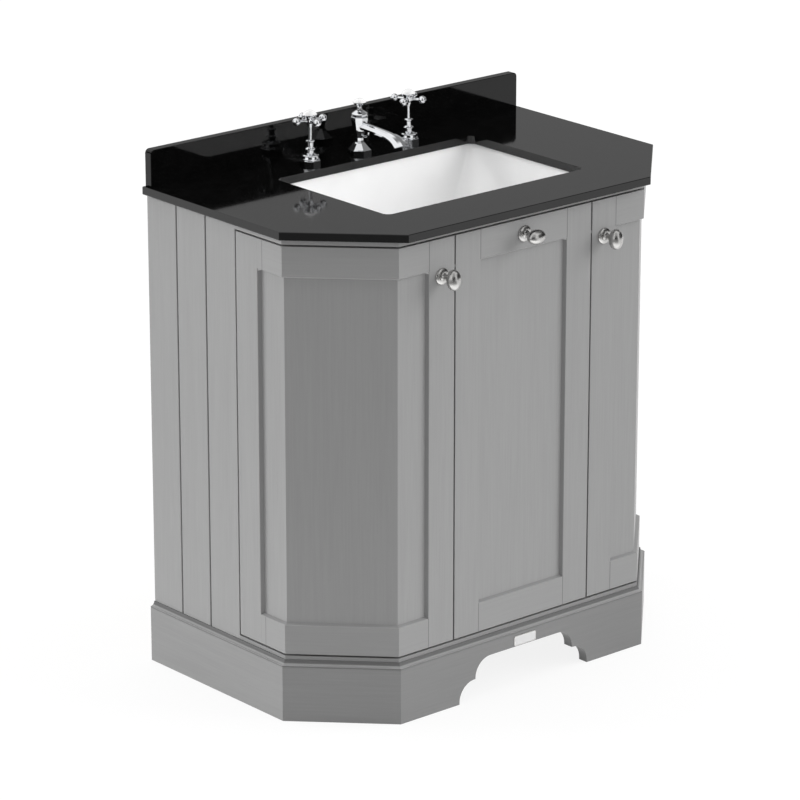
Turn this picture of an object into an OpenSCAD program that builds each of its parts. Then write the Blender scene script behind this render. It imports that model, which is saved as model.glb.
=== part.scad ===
// Vanity unit with angled front corners: three doors, granite top, basin and taps.
// Modules are drawn with the wall plane at y = 0, the front towards -Y and the floor at z = 0.

/* [Cabinet] */
// Width over the side panels
cabinet_w = 752; // [700:2:900]
// Depth from the wall to the door faces
cabinet_d = 452; // [430:1:520]
// Leg of each angled front corner, in plan
cabinet_corner = 124; // [100:1:135]
// Height of the worktop's top face
unit_h = 785; // [740:5:860]
// Thickness of the side panels, partitions and back rails
board_t = 18; // [16:1:22]
// Width of one board of the grooved side panel
side_board_w = 72; // [66:1:78]
// Boards in a side panel
side_boards = 3; // [2:1:3]
// Width of the V groove between the side boards
groove_w = 4; // [2:0.5:6]
// Depth of the V groove between the side boards
groove_depth = 3; // [1:0.5:5]
// Thickness of the base board
base_t = 15; // [12:1:22]
// Thickness of the frame under the worktop
top_frame_t = 9; // [6:1:18]
// Height of the upper back rail
upper_rail_h = 100; // [60:5:140]
// Height of the lower back rail
lower_rail_h = 80; // [60:5:120]
// Height of the partitions behind the basin
partition_low_h = 480; // [400:10:490]
// Depth of the partitions' front posts
post_d = 36; // [30:1:38]
// Distance between the wall fixing holes
wall_hole_pitch = 500; // [300:10:600]
// Radius of the wall fixing holes
wall_hole_r = 4; // [3:0.5:6]

/* [Doors] */
// Width of the centre door
centre_door_w = 278; // [260:2:300]
// Thickness of the door frames
door_t = 20; // [20:0.5:22]
// Gap round each door
door_gap = 3; // [2.5:0.5:4]
// Width of the stiles
stile_w = 50; // [46:1:60]
// Width of the rails
rail_w = 47; // [40:1:70]
// Width of the bevel round the panel
bevel_w = 3; // [1:0.5:5]
// Depth of the panel below the frame's face
recess = 6; // [4:0.5:7]
// Thickness of the panel
panel_t = 8; // [6:0.5:9]
// Depth of the groove that holds the panel
panel_groove = 8; // [5:0.5:9]
// Length of the tenons
tenon_l = 25; // [15:1:30]
// Rail shoulder beside each tenon
tenon_shoulder = 10; // [6:1:14]
// Clearance of panels and tenons in their slots
joinery_fit = 0.1; // [0.05:0.05:0.3]
// Gap between a bumper and the closed door
bumper_gap = 0.3; // [0.1:0.1:0.6]
// Radius of the bumpers
bumper_r = 2.8; // [2:0.1:3]

/* [Hinges] */
// Distance of each hinge from the door's end
hinge_inset = 95; // [80:5:160]
// Distance of the pin from the door's hinge edge
pin_edge = 12; // [12:0.5:13]
// Distance of the pin behind the door's face
pin_depth = 8; // [7:0.5:8]
// Radius of the hinge cup
cup_r = 17.5; // [17.5:0.5:18]
// Distance of the cup's centre from the hinge edge
cup_edge = 22; // [22:0.5:23]
// Depth of the cup
cup_depth = 15.5; // [15.5:0.25:16]
// Thickness of the cup's wall and floor
cup_wall = 0.8; // [0.6:0.1:0.9]
// Thickness of the cup's flange
flange_t = 1.2; // [1:0.1:1.5]
// Radius of the hinge pin
pin_r = 1.5; // [1.2:0.1:1.5]
// Radial clearance of the pin in the arm
pin_fit = 0.08; // [0.04:0.01:0.1]
// Outer radius of the arm's knuckle
knuckle_r = 2.4; // [2.2:0.1:2.4]
// Width of the arm
arm_w = 14; // [12:1:16]
// Thickness of the arm
arm_t = 2.5; // [2:0.1:2.6]
// How far the arm bends away from the hinge edge
arm_bend = 17; // [16.5:0.5:17.5]
// How far the arm stands behind the pin
arm_reach = 20; // [19.5:0.5:21]
// Length of the mounting plates
plate_l = 34; // [28:1:36]
// Height of the mounting plates
plate_h = 30; // [24:1:40]

/* [Knobs] */
// Long diameter of the oval head
knob_l = 33; // [28:1:40]
// Short diameter of the oval head
knob_d = 23; // [20:1:28]
// Distance of the head's centre from the door
knob_stand = 27; // [22:1:32]
// Radius of the rose
rose_r = 13; // [10:0.5:16]
// Thickness of the rose
rose_t = 5; // [3:0.5:6]
// Radius of the neck
knob_neck_r = 5; // [4:0.5:7]
// Radius of the stud in the door
stud_r = 2; // [1.5:0.25:3]
// Length of the stud in the door
stud_l = 12; // [8:1:16]
// Height of the side knobs below the door's top
knob_drop = 59; // [55:1:120]

/* [Plinth] */
// Height of the plinth boards
plinth_h = 90; // [80:1:120]
// How far the plinth stands proud of the cabinet
plinth_proud = 9; // [6:0.5:12]
// Thickness of the plinth boards
plinth_t = 18; // [15:1:22]
// Height of the cove moulding
cove_h = 9; // [7:0.5:11]
// Radius of the cove
cove_r = 7; // [5:0.5:8]
// Bevel at the plinth's top edge
plinth_bevel = 1; // [0.5:0.25:2]
// Radius of the arcs of the foot arches
arch_r = 31; // [26:1:33]
// Half width of the arch at the floor
arch_half = 135.5; // [120:0.5:150]
// Straight foot below the lower arc
arch_foot = 3.5; // [2:0.5:8]
// Width of the step between the two arcs
arch_step = 2; // [1:0.5:4]
// Height of the step between the two arcs
arch_rise = 1.5; // [1:0.5:4]
// Side of the rear glue blocks
block_s = 40; // [30:1:60]

/* [Shelves] */
// Height of the shelves above the base board
shelf_h = 235; // [200:5:330]
// Thickness of the shelves
shelf_t = 15; // [12:1:20]
// Gap between a shelf and the doors
shelf_gap = 8; // [6:1:15]
// Side clearance of the shelves
shelf_fit = 0.5; // [0.3:0.1:0.9]
// Radius of the shelf pegs
peg_r = 2.5; // [2:0.25:3]
// Length of a shelf peg on each side of the panel's face
peg_l = 9; // [7:0.5:10]
// Distance of the rear pegs from the wall
peg_back = 60; // [40:5:80]
// Distance of the front pegs from the wall
peg_front = 180; // [150:5:200]
// Clearance of the pegs in their holes
peg_fit = 0.05; // [0.02:0.01:0.2]

/* [Worktop] */
// Thickness of the worktop
worktop_t = 13; // [12:1:25]
// Overhang at the sides
side_overhang = 9; // [4:1:14]
// Overhang at the front
front_overhang = 18; // [12:1:24]
// Overhang at the angled corners
corner_overhang = 10; // [6:1:16]
// Bevel of the worktop's and the upstand's edges
stone_bevel = 0.8; // [0.4:0.1:1.5]
// Height of the upstand
upstand_h = 59; // [40:1:100]
// Thickness of the upstand
upstand_t = 15; // [10:1:18]
// Distance of the upstand's ends from the worktop's ends
upstand_inset = 6; // [1:1:20]
// Radius of the upstand's upper corners
upstand_round = 7; // [3:0.5:12]

/* [Basin] */
// Width of the cut-out
cutout_w = 406; // [380:2:410]
// Distance of the cut-out from the door faces
cutout_front = 84; // [81:1:95]
// Distance of the cut-out from the wall
cutout_back = 101; // [101:1:105]
// Corner radius of the cut-out
cutout_r = 12; // [10:1:30]
// How far the bowl stands back under the worktop
reveal = 3; // [1:0.5:4]
// Width of the basin's flange
flange_w = 14; // [12:1:14]
// Thickness of the basin's flange
flange_h = 15; // [12:1:18]
// Depth of the bowl below the worktop
bowl_depth = 135; // [110:1:140]
// Thickness of the bowl's wall
bowl_wall = 9; // [7:0.5:10]
// Length of the basin clips
clip_l = 30; // [20:1:40]
// Thickness of the basin clips
clip_t = 2; // [1.5:0.25:3]

/* [Waste] */
// Radius of the waste's flange
waste_flange_r = 32; // [30:0.5:36]
// Thickness of the waste's flange
waste_flange_t = 2.5; // [2:0.5:4]
// Outer radius of the waste pipe
waste_r = 19; // [18:0.5:20]
// Bore radius of the waste pipe
waste_bore_r = 15; // [14:0.5:16]
// Length of the waste pipe below the bowl
waste_l = 90; // [86:1:110]
// Clearance of the waste in the basin's hole
waste_fit = 2; // [1:0.5:3]
// Height of the lever's pivot above the pipe's end
lever_rise = 44; // [40:1:50]
// Distance of the lever's pivot from the waste's axis
lever_in = 25; // [24:0.5:26]
// Radius of the lever's ball
ball_r = 6; // [5.5:0.25:6.5]
// Clearance of the ball in its port
ball_fit = 0.3; // [0.3:0.05:0.4]
// Radius of the lever's rod
lever_r = 1.5; // [1.5:0.1:2]
// Travel of the lift rod
lift_travel = 35; // [25:1:35]
// Width of the lift strap
strap_w = 12; // [10:1:16]
// Thickness of the lift strap
strap_t = 2; // [1.5:0.1:2.5]
// Length of the strap's clamp on the lift rod
clamp_l = 14; // [10:1:16]
// Clearance of the lever in the strap and under the plug
lever_fit = 0.4; // [0.3:0.05:0.8]
// Radius of the plug
plug_r = 21; // [20:0.5:24]
// Thickness of the plug's edge
plug_edge = 1.5; // [1:0.25:3]
// Radius of the plug's stem
plug_stem_r = 4; // [3:0.5:5]
// Gap under the closed plug
plug_gap = 0.4; // [0.3:0.1:0.6]

/* [Trap] */
// Outer radius of the bottle
bottle_r = 30; // [26:1:36]
// Height of the bottle's upper part
bottle_h = 62; // [50:1:80]
// Height of the lower cup
trap_cup_h = 48; // [35:1:70]
// Wall of the bottle and the pipes
trap_wall = 2.5; // [2:0.25:4]
// Outer radius of the outlet pipe
outlet_r = 16; // [14:0.5:18]
// Distance of the outlet pipe's end from the wall
outlet_end = 2; // [1:1:10]

/* [Taps] */
// Distance between a valve and the spout
tap_pitch = 102; // [95:1:115]
// Distance of the taps from the wall
tap_back = 63; // [58:1:63]
// Radius of the tap holes
tap_hole_r = 14; // [13:0.5:15]
// Radius of the threaded shanks
shank_r = 12; // [11:0.25:12.5]
// Length of the shanks below the worktop's top
shank_l = 62; // [58:1:75]
// Radius of the valves' inlet tails
inlet_r = 10.5; // [9:0.25:10.5]
// Length of the valves' inlet tails
inlet_l = 14; // [10:1:16]
// Radius of the valves' octagonal base
valve_base_r = 18.5; // [17:0.5:19]
// Height of the octagonal skirts
skirt_h = 6; // [5:0.5:8]
// Radius of the valve's turned body
valve_r = 7.5; // [6.5:0.25:8]
// Height of the valve's body
valve_h = 38; // [34:1:44]
// Radius of the spindle
spindle_r = 3; // [2.4:0.1:3.2]
// Radial clearance of the spindle and the lift rod
spindle_fit = 0.08; // [0.04:0.01:0.1]
// Depth of the spindle in the valve
spindle_sink = 22; // [16:1:28]
// Height of the handle's arms above the worktop
handle_h = 70; // [68:1:76]
// Radius from the spindle to a ball of the handle
handle_reach = 23.5; // [20:0.5:26]
// Radius of the balls
handle_ball_r = 6.3; // [5:0.1:7]
// Radius of the handle's arms
handle_arm_r = 2.2; // [1.8:0.1:3]
// Radius of the handle's hub
hub_r = 6.5; // [5.5:0.25:7.5]
// Radius of the domed caps on the handles
cap_r = 11.5; // [10:0.5:13]
// Height of the domed caps on the handles
cap_h = 6.5; // [5:0.5:9]
// Corner radius of the hexagonal nuts under the worktop
tap_nut_r = 16; // [15:0.5:18]
// Height of the nuts under the worktop
tap_nut_h = 8; // [6:0.5:12]
// Thickness of the washers under the worktop
tap_washer_t = 2; // [1:0.5:3]
// Turn of the hot handle at rest
hot_turn = -10; // [-45:1:45]
// Turn of the cold handle at rest
cold_turn = 30; // [-45:1:45]
// Radius of the spout's octagonal base
spout_base_r = 21; // [19:0.5:23]
// Widest radius of the spout's vase
vase_r = 14.5; // [13:0.5:17]
// Height of the spout's vase
vase_h = 59; // [54:1:61]
// Height of the spout's neck cone
collar_h = 70; // [67:1:71]
// Reach of the spout's arm
spout_reach = 104; // [90:1:115]
// Height of the spout's tip
nozzle_h = 30; // [24:1:34]
// Height of the arm at the vase
arm_h = 45; // [41:1:48]
// Radius of the lift rod
lift_r = 2.2; // [1.8:0.1:2.5]
// Radius of the lift knob's cup
lift_cup_r = 11; // [9:0.5:12]
// Height of the lift knob's domed cap
lift_dome_h = 6; // [4:0.5:8]
// Height of the lift knob's cup above the worktop
lift_cup_h = 77; // [75:1:82]

/* [Hidden] */

$fn = 64;
eps = 0.01;
far = 1200;

// Paint and metal colours of the solids
paint = "#8f9194";
paint_side = "#989a9c";
timber = "#b9a88a";
stone = "#26282b";
chrome = "#c9ced2";
satin = "#9ea2a4";
white = "#f2f2ef";
rubber = "#3a3a3a";
steel = "#aab0b4";

// Heights, from the floor up
base_z = plinth_h;
base_top = base_z + base_t;
door_z = base_top + door_gap;
worktop_z = unit_h - worktop_t;
frame_z = worktop_z - top_frame_t;
door_top = frame_z - door_gap;
door_h = door_top - door_z;

// Plan of the cabinet
half_w = cabinet_w / 2;
side_d = side_boards * side_board_w;
door_hinge_y = side_d + door_gap;
centre_half = centre_door_w / 2;
door_free_x = centre_half + door_gap;
partition_x = centre_half + door_gap / 2;
inner_x = half_w - board_t;
diagonal = sqrt(2);
corner_rho = (half_w + cabinet_d - cabinet_corner) / diagonal;

// The whole part is moved so that its origin is the middle of its base
front_reach = knob_stand + knob_d / 2;
wall_y = (cabinet_d + front_reach) / 2;

// Door joinery
slot_t = panel_t + 2 * joinery_fit;
edge_w = stile_w + bevel_w;
edge_h = rail_w + bevel_w;
slot_bottom_u = edge_w - panel_groove;
slot_bottom_z = edge_h - panel_groove;

// Hinge axes: the corner doors turn near the side panels, the centre door on the right partition
corner_pin = [half_w - pin_depth, -(door_hinge_y + pin_edge)];
centre_pin = [centre_half - pin_edge, -(cabinet_d - pin_depth)];
sweep = sqrt(pow(pin_edge, 2) + pow(door_t - pin_depth, 2));
post_front = cabinet_d - pin_depth - sweep - 1;
post_back = post_front - post_d;
hinge_zs = [door_z + hinge_inset, door_top - hinge_inset];
plate_start = 19;

// Basin and waste
cutout_d = cabinet_d - cutout_back - cutout_front;
basin_y = -(cutout_back + cutout_d / 2);
bowl_x = cutout_w / 2 + reveal;
bowl_y = cutout_d / 2 + reveal;
bowl_z = worktop_z - bowl_depth;
bowl_low_z = bowl_z - bowl_wall;
waste_low_z = bowl_low_z - waste_l;
waste_hole_r = waste_r + waste_fit;
lever_z = waste_low_z + lever_rise;
lever_y = basin_y + lever_in;
strap_y = -(tap_back - lift_r - strap_t / 2);
lever_out = strap_y - lever_y;
lever_angle = lift_travel / lever_out * 180 / PI;
lever_tilt = lever_angle / 2;
plug_travel = lift_travel * lever_in / lever_out;
flange_top_z = bowl_z + waste_flange_t;
plug_z = flange_top_z + plug_travel + plug_gap;
port_r = ball_r + ball_fit;
port_len = lever_in + ball_r - 1;
nut_t = 10;
trap_top_z = waste_low_z + 22;
bottle_top_z = waste_low_z - 6;
bottle_low_z = bottle_top_z - bottle_h;
outlet_z = bottle_top_z - outlet_r - 6;

// Taps
tap_y = -tap_back;
valve_low_z = unit_h - shank_l;
link_z = valve_low_z + inlet_l + 10;
link_r = 6;
tee_r = shank_r + 3;
tee_low_z = valve_low_z - 8;
tee_top_z = link_z + 14;

// Plan corners of the cabinet's outline moved out by e
function side_x(e) = half_w + e;
function front_y(e) = cabinet_d + e;
function corner_y(e) = cabinet_d - cabinet_corner + e * (diagonal - 1);
function corner_x(e) = half_w - cabinet_corner + e * (diagonal - 1);
function outline(e) = [[-side_x(e), 0], [-side_x(e), -corner_y(e)], [-corner_x(e), -front_y(e)],
    [corner_x(e), -front_y(e)], [side_x(e), -corner_y(e)], [side_x(e), 0]];

// Plan corners of the worktop moved in by e
worktop_half = half_w + side_overhang;
worktop_d = cabinet_d + front_overhang;
worktop_corner = worktop_half + worktop_d - diagonal * (corner_rho + corner_overhang);
function worktop_outline(e) =
    let (x = worktop_half - e, y = worktop_d - e, c = worktop_corner - e * (2 - diagonal))
    [[-x, -e], [-x, c - y], [c - x, -y], [x - c, -y], [x, c - y], [x, -e]];

// Puts a piece drawn from the wall plane into the part's frame
module from_wall() translate([0, wall_y, 0]) children();
module both_sides() {
    children();
    mirror([1, 0, 0]) children();
}
module slab(z0, z1) translate([0, 0, z0]) linear_extrude(z1 - z0) children();
module box(x0, x1, y0, y1, z0, z1) translate([x0, y0, z0]) cube([x1 - x0, y1 - y0, z1 - z0]);
module ring(r_out, r_in, h) {
    difference() {
        cylinder(r = r_out, h = h);
        translate([0, 0, -1]) cylinder(r = r_in, h = h + 2);
    }
}

// A profile drawn as (distance out from the face, height), run along one facet of the front
module face_run(turn, distance)
    rotate([0, 0, turn]) translate([distance, 0, 0]) rotate([90, 0, 0])
        linear_extrude(far, center = true) children();
zone_out = 40;
zone_in = -60;
module side_zone(y0) slab(-1, unit_h) polygon([[-side_x(zone_out), -y0],
    [-side_x(zone_out), -corner_y(zone_out)], [-side_x(zone_in), -corner_y(zone_in)],
    [-side_x(zone_in), -y0]]);
module corner_zone() slab(-1, unit_h) polygon([[-side_x(zone_out), -corner_y(zone_out)],
    [-corner_x(zone_out), -front_y(zone_out)], [-corner_x(zone_in), -front_y(zone_in)],
    [-side_x(zone_in), -corner_y(zone_in)]]);
module front_zone(x1) slab(-1, unit_h) polygon([[-corner_x(zone_out), -front_y(zone_out)],
    [x1, -front_y(zone_out)], [x1, -front_y(zone_in)], [-corner_x(zone_in), -front_y(zone_in)]]);
module side_length(y0) intersection() {
    face_run(180, half_w) children();
    side_zone(y0);
}
module corner_length() intersection() {
    face_run(225, corner_rho) children();
    corner_zone();
}
module front_length(x1) intersection() {
    face_run(270, cabinet_d) children();
    front_zone(x1);
}
// The same profile round the side strip, the angled corner and the front strip of the left door
module wrap(y0, x1) {
    side_length(y0) children();
    corner_length() children();
    front_length(x1) children();
}

// Worktop, upstand and basin

module cutout_shape(grow) offset_square(cutout_w / 2 + grow, cutout_d / 2 + grow, cutout_r + grow);
module offset_square(x, y, r) {
    square([2 * (x - r), 2 * y], center = true);
    square([2 * x, 2 * (y - r)], center = true);
    for (sx = [-1, 1], sy = [-1, 1]) translate([sx * (x - r), sy * (y - r)]) circle(r);
}
module worktop() color(stone) from_wall() difference() {
    hull() {
        slab(worktop_z, unit_h) polygon(worktop_outline(stone_bevel));
        slab(worktop_z + stone_bevel, unit_h - stone_bevel) polygon(worktop_outline(0));
    }
    translate([0, basin_y, 0]) slab(worktop_z - 1, unit_h + 1) cutout_shape(0);
    for (x = [-tap_pitch, 0, tap_pitch])
        translate([x, tap_y, worktop_z - 1]) cylinder(r = tap_hole_r, h = worktop_t + 2);
}
// Face of the upstand, drawn in from its edges by the given inset
function upstand_outline(inset) =
    let (x = worktop_half - upstand_inset - inset, h = upstand_h - inset, r = upstand_round - inset,
        arc = [for (k = [0 : 6]) [x - r + r * cos(15 * k), h - r + r * sin(15 * k)]])
    concat([[-x, 0], [x, 0]], arc, [for (k = [6 : -1 : 0]) [-arc[k][0], arc[k][1]]]);
module upstand() color(stone) from_wall() translate([0, 0, unit_h]) rotate([90, 0, 0]) hull() {
    linear_extrude(upstand_t) polygon(upstand_outline(stone_bevel));
    translate([0, 0, stone_bevel]) linear_extrude(upstand_t - 2 * stone_bevel)
        polygon(upstand_outline(0));
}

// Bowl levels as [share of the depth, inset at the ends, inset front and back, corner radius]
bowl_levels = [[0, 0, 0, 6], [0.6, 42, 13, 6], [0.84, 58, 19, 9], [0.94, 70, 28, 18],
    [0.985, 90, 44, 30], [1, 110, 60, 34]];
bowl_steps = 8;
function ring_points(x, y, r, z) = [for (q = [0 : 3], k = [0 : bowl_steps])
    let (a = 90 * q + 90 * k / bowl_steps, sx = (q == 0 || q == 3) ? 1 : -1, sy = q < 2 ? 1 : -1)
    [sx * (x - r) + r * cos(a), sy * (y - r) + r * sin(a), z]];
module bowl(grow, depth) {
    count = 4 * (bowl_steps + 1);
    last = len(bowl_levels) - 1;
    points = [for (level = bowl_levels) each ring_points(bowl_x - level[1] + grow,
        bowl_y - level[2] + grow, level[3] + grow, worktop_z - level[0] * depth)];
    sides = [for (j = [0 : last - 1], i = [0 : count - 1])
        let (n = (i + 1) % count)
        [j * count + i, j * count + n, (j + 1) * count + n, (j + 1) * count + i]];
    caps = [[for (i = [count - 1 : -1 : 0]) i], [for (i = [0 : count - 1]) last * count + i]];
    polyhedron(points, concat(sides, caps), convexity = 4);
}
module basin() color(white) from_wall() translate([0, basin_y, 0]) difference() {
    union() {
        slab(worktop_z - flange_h, worktop_z) offset_square(bowl_x + flange_w, bowl_y + flange_w, 30);
        bowl(bowl_wall, bowl_depth + bowl_wall);
    }
    translate([0, 0, eps]) bowl(0, bowl_depth);
    translate([0, 0, bowl_low_z - 1]) cylinder(r = waste_hole_r, h = 30);
}
clip_x = bowl_x + flange_w;
module basin_clips() color(steel) from_wall() translate([0, basin_y, 0]) both_sides()
    for (y = [-cutout_d / 4, cutout_d / 4])
        translate([clip_x, y + clip_l / 2, 0]) rotate([90, 0, 0]) linear_extrude(clip_l)
            clip_profile();
// Step of a clip: one foot under the basin's flange, the other under the top frame
module clip_profile() {
    low = worktop_z - flange_h;
    foot = bowl_wall - flange_w + 0.5;
    polygon([[foot, low - clip_t], [2 + clip_t, low - clip_t], [2 + clip_t, frame_z - clip_t],
        [28, frame_z - clip_t], [28, frame_z], [2, frame_z], [2, low], [foot, low]]);
}

// Waste, lever and trap

module at_waste(z) from_wall() translate([0, basin_y, z]) children();
module waste_body() color(chrome) at_waste(0) difference() {
    union() {
        translate([0, 0, bowl_z + eps]) cylinder(r = waste_flange_r, h = waste_flange_t);
        translate([0, 0, waste_low_z]) cylinder(r = waste_r, h = flange_top_z - waste_low_z);
        translate([0, 0, lever_z]) rotate([-90, 0, 0]) cylinder(r = port_r + 3.5, h = port_len);
    }
    translate([0, 0, waste_low_z - 1]) cylinder(r = waste_bore_r, h = waste_l + 60);
    translate([0, 0, flange_top_z - 1.2])
        cylinder(r1 = waste_bore_r, r2 = plug_r - 2, h = 1.3);
    translate([0, lever_in - ball_r - 0.5, lever_z]) rotate([-90, 0, 0])
        cylinder(r = port_r, h = port_len);
    translate([0, 0, lever_z]) rotate([-90, 0, 0]) cylinder(r = lever_r + 2.6, h = port_len);
}
module waste_washer() color(rubber) at_waste(bowl_low_z - 3) ring(waste_flange_r, waste_r, 3);
module waste_nut() color(chrome) at_waste(bowl_low_z - 3 - nut_t) difference() {
    cylinder(r = waste_flange_r, h = nut_t, $fn = 6);
    translate([0, 0, -1]) cylinder(r = waste_r, h = nut_t + 2);
}
// Nut over the lever's port: a skirt round the port and a holed cap behind the ball
module lever_port_nut() color(chrome) at_waste(lever_z) rotate([-90, 0, 0]) difference() {
    skirt = 6;
    cap = lever_in + ball_r + 0.3;
    translate([0, 0, port_len - skirt]) cylinder(r = port_r + 6.5, h = cap + 2 - port_len + skirt);
    translate([0, 0, port_len - skirt - 1]) cylinder(r = port_r + 3.5, h = skirt + 1);
    translate([0, 0, port_len - 1]) cylinder(r = port_r, h = cap - port_len + 1);
    translate([0, 0, port_len]) cylinder(r = lever_r + 2.6, h = 20);
}
module pivot_lever() color(chrome) from_wall() translate([0, lever_y, lever_z])
    rotate([-lever_tilt, 0, 0]) {
        sphere(ball_r);
        translate([0, -lever_in - 2, 0]) rotate([-90, 0, 0])
            cylinder(r = lever_r, h = lever_in + 2 + lever_out + 9);
    }
module waste_plug() color(chrome) at_waste(0) {
    tip_z = lever_z + lever_in * tan(lever_tilt) + lever_r / cos(lever_tilt) + lever_fit;
    translate([0, 0, plug_z]) cylinder(r = plug_r, h = plug_edge);
    translate([0, 0, plug_z + plug_edge]) dome(plug_r, 3);
    translate([0, 0, tip_z]) cylinder(r = plug_stem_r, h = plug_z + 1 - tip_z);
    for (a = [30 : 120 : 270]) rotate([0, 0, a]) translate([0, -1, plug_z - 26])
        cube([waste_bore_r - 0.8, 2, 25]);
}
module trap_nut() color(chrome) at_waste(trap_top_z - 26) difference() {
    cylinder(r = waste_r + 6, h = 26);
    translate([0, 0, -1]) cylinder(r = waste_r, h = 28);
    for (a = [0 : 45 : 315]) rotate([0, 0, a]) translate([waste_r + 7.5, 0, -1])
        cylinder(r = 3, h = 28);
}
module trap_body() color(chrome) at_waste(0) difference() {
    union() {
        translate([0, 0, bottle_low_z]) cylinder(r = bottle_r, h = bottle_h - 4);
        translate([0, 0, bottle_top_z - 4]) cylinder(r1 = bottle_r, r2 = bottle_r - 4, h = 4);
        translate([0, 0, bottle_top_z - 1]) cylinder(r = waste_r, h = waste_low_z - bottle_top_z + 1);
        translate([0, 0, outlet_z]) rotate([-90, 0, 0])
            cylinder(r = outlet_r + 4, h = bottle_r + 2 + outlet_seat);
    }
    difference() {
        translate([0, 0, bottle_low_z - 1]) cylinder(r = bottle_r - trap_wall, h = bottle_h - 3);
        translate([0, 0, bottle_low_z - 2]) cylinder(r = waste_bore_r + trap_wall, h = bottle_h);
    }
    translate([0, 0, bottle_low_z - 1]) cylinder(r = waste_bore_r, h = bottle_h + 20);
    translate([0, waste_bore_r + trap_wall + 1, outlet_z]) rotate([-90, 0, 0])
        cylinder(r = outlet_r - trap_wall, h = bottle_r + 20);
    translate([0, bottle_r + 2, outlet_z]) rotate([-90, 0, 0])
        cylinder(r = outlet_r - outlet_neck, h = 30);
}
module trap_cup() color(chrome) at_waste(bottle_low_z - trap_cup_h) {
    rotate_extrude() difference() {
        union() {
            translate([0, 10]) square([bottle_r, trap_cup_h - 10]);
            square([bottle_r - 10, 20]);
            intersection() {
                translate([bottle_r - 10, 10]) circle(10);
                square([bottle_r, 20]);
            }
            translate([0, trap_cup_h - 12]) square([bottle_r + 3, 12]);
        }
        translate([0, 3]) square([bottle_r - 9, trap_cup_h]);
        translate([0, 9]) square([bottle_r - trap_wall, trap_cup_h]);
        translate([-bottle_r, -5]) square([bottle_r, trap_cup_h + 10]);
    }
}
// The pipe's end in the trap is turned down a little, as under a sealing ring
outlet_seat = 12;
outlet_neck = 0.25;
module trap_outlet_pipe() color(chrome) from_wall() {
    start = basin_y + bottle_r + 2;
    translate([0, start, outlet_z]) rotate([-90, 0, 0]) difference() {
        union() {
            cylinder(r = outlet_r - outlet_neck, h = outlet_seat + 1);
            translate([0, 0, outlet_seat]) cylinder(r = outlet_r, h = -start - outlet_end - outlet_seat);
        }
        translate([0, 0, -1]) cylinder(r = outlet_r - trap_wall, h = far);
    }
}

// Taps

module at_tap(x) from_wall() translate([x, tap_y, unit_h]) children();
// Turned parts with eight flat faces, as on the bases and the spout
module octagon_turned() rotate([0, 0, 22.5]) rotate_extrude($fn = 8) children();
module shank(length) translate([0, 0, -length]) cylinder(r = shank_r, h = length);
module inlet_tail() translate([0, 0, -shank_l]) cylinder(r = inlet_r, h = inlet_l + 1);
module valve_body(toward) difference() {
    r = valve_base_r;
    union() {
        octagon_turned() polygon([[0, 0], [r, 0], [r, skirt_h], [r - 1, skirt_h + 0.6],
            [0, skirt_h + 0.6]]);
        rotate_extrude() polygon([[0, 1], [r - 3, 1], [r - 3, skirt_h + 1], [r - 2.4, skirt_h + 1.6],
            [r - 2.4, skirt_h + 2.4], [r - 4, skirt_h + 3], [r - 4.5, skirt_h + 6.5],
            [r - 3.8, skirt_h + 7.2], [r - 3.8, skirt_h + 8.2], [r - 5.5, skirt_h + 9.2],
            [r - 9, skirt_h + 10], [valve_r - 1, skirt_h + 11], [valve_r - 1, 21.5],
            [valve_r + 1.2, 22.7], [valve_r + 1.2, 24], [valve_r - 1, 25.2],
            [valve_r - 2.2, 26.5], [valve_r - 2.2, valve_h - 4], [valve_r - 0.2, valve_h - 2.6],
            [valve_r - 0.2, valve_h - 1.2], [spindle_r + 1.5, valve_h], [0, valve_h]]);
        shank(shank_l - inlet_l);
        inlet_tail();
        translate([0, 0, link_z - unit_h]) rotate([0, 90 * toward, 0])
            cylinder(r = link_r + 2.5, h = shank_r + 6);
    }
    translate([0, 0, valve_h - spindle_sink]) cylinder(r = spindle_r + spindle_fit, h = far);
    translate([0, 0, -shank_l - 1]) cylinder(r = link_r, h = shank_l - 4);
    translate([0, 0, link_z - unit_h]) rotate([0, 90 * toward, 0]) cylinder(r = link_r - 1, h = 40);
}
module hot_valve_body() color(chrome) at_tap(-tap_pitch) valve_body(1);
module cold_valve_body() color(chrome) at_tap(tap_pitch) valve_body(-1);

// Cross handle with its spindle: hub, four arms with ball ends and a cup under the cap
cup_z = handle_h + 8.5;
module cross_handle() {
    translate([0, 0, valve_h - spindle_sink + 1])
        cylinder(r = spindle_r, h = handle_h - valve_h + spindle_sink - 4);
    rotate_extrude() polygon([[0, handle_h - 12], [spindle_r + 0.5, handle_h - 12],
        [spindle_r + 0.8, handle_h - 9], [hub_r - 1.5, handle_h - 5.5], [hub_r, handle_h - 2.5],
        [hub_r + 1, handle_h + 1], [cap_r - 2.8, handle_h + 4], [cap_r - 0.8, cup_z - 2],
        [cap_r, cup_z - 0.4], [cap_r, cup_z + 0.6], [cap_r - 0.4, cup_z + 1], [0, cup_z + 1]]);
    for (a = [0 : 90 : 270]) rotate([0, 0, a]) {
        translate([0, 0, handle_h]) rotate([0, 90, 0]) cylinder(r = handle_arm_r, h = handle_reach);
        translate([handle_reach, 0, handle_h]) sphere(handle_ball_r);
        translate([hub_r - 1, 0, handle_h]) rotate([0, 90, 0])
            cylinder(r1 = handle_arm_r + 1.4, r2 = handle_arm_r, h = 4);
    }
}
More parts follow.
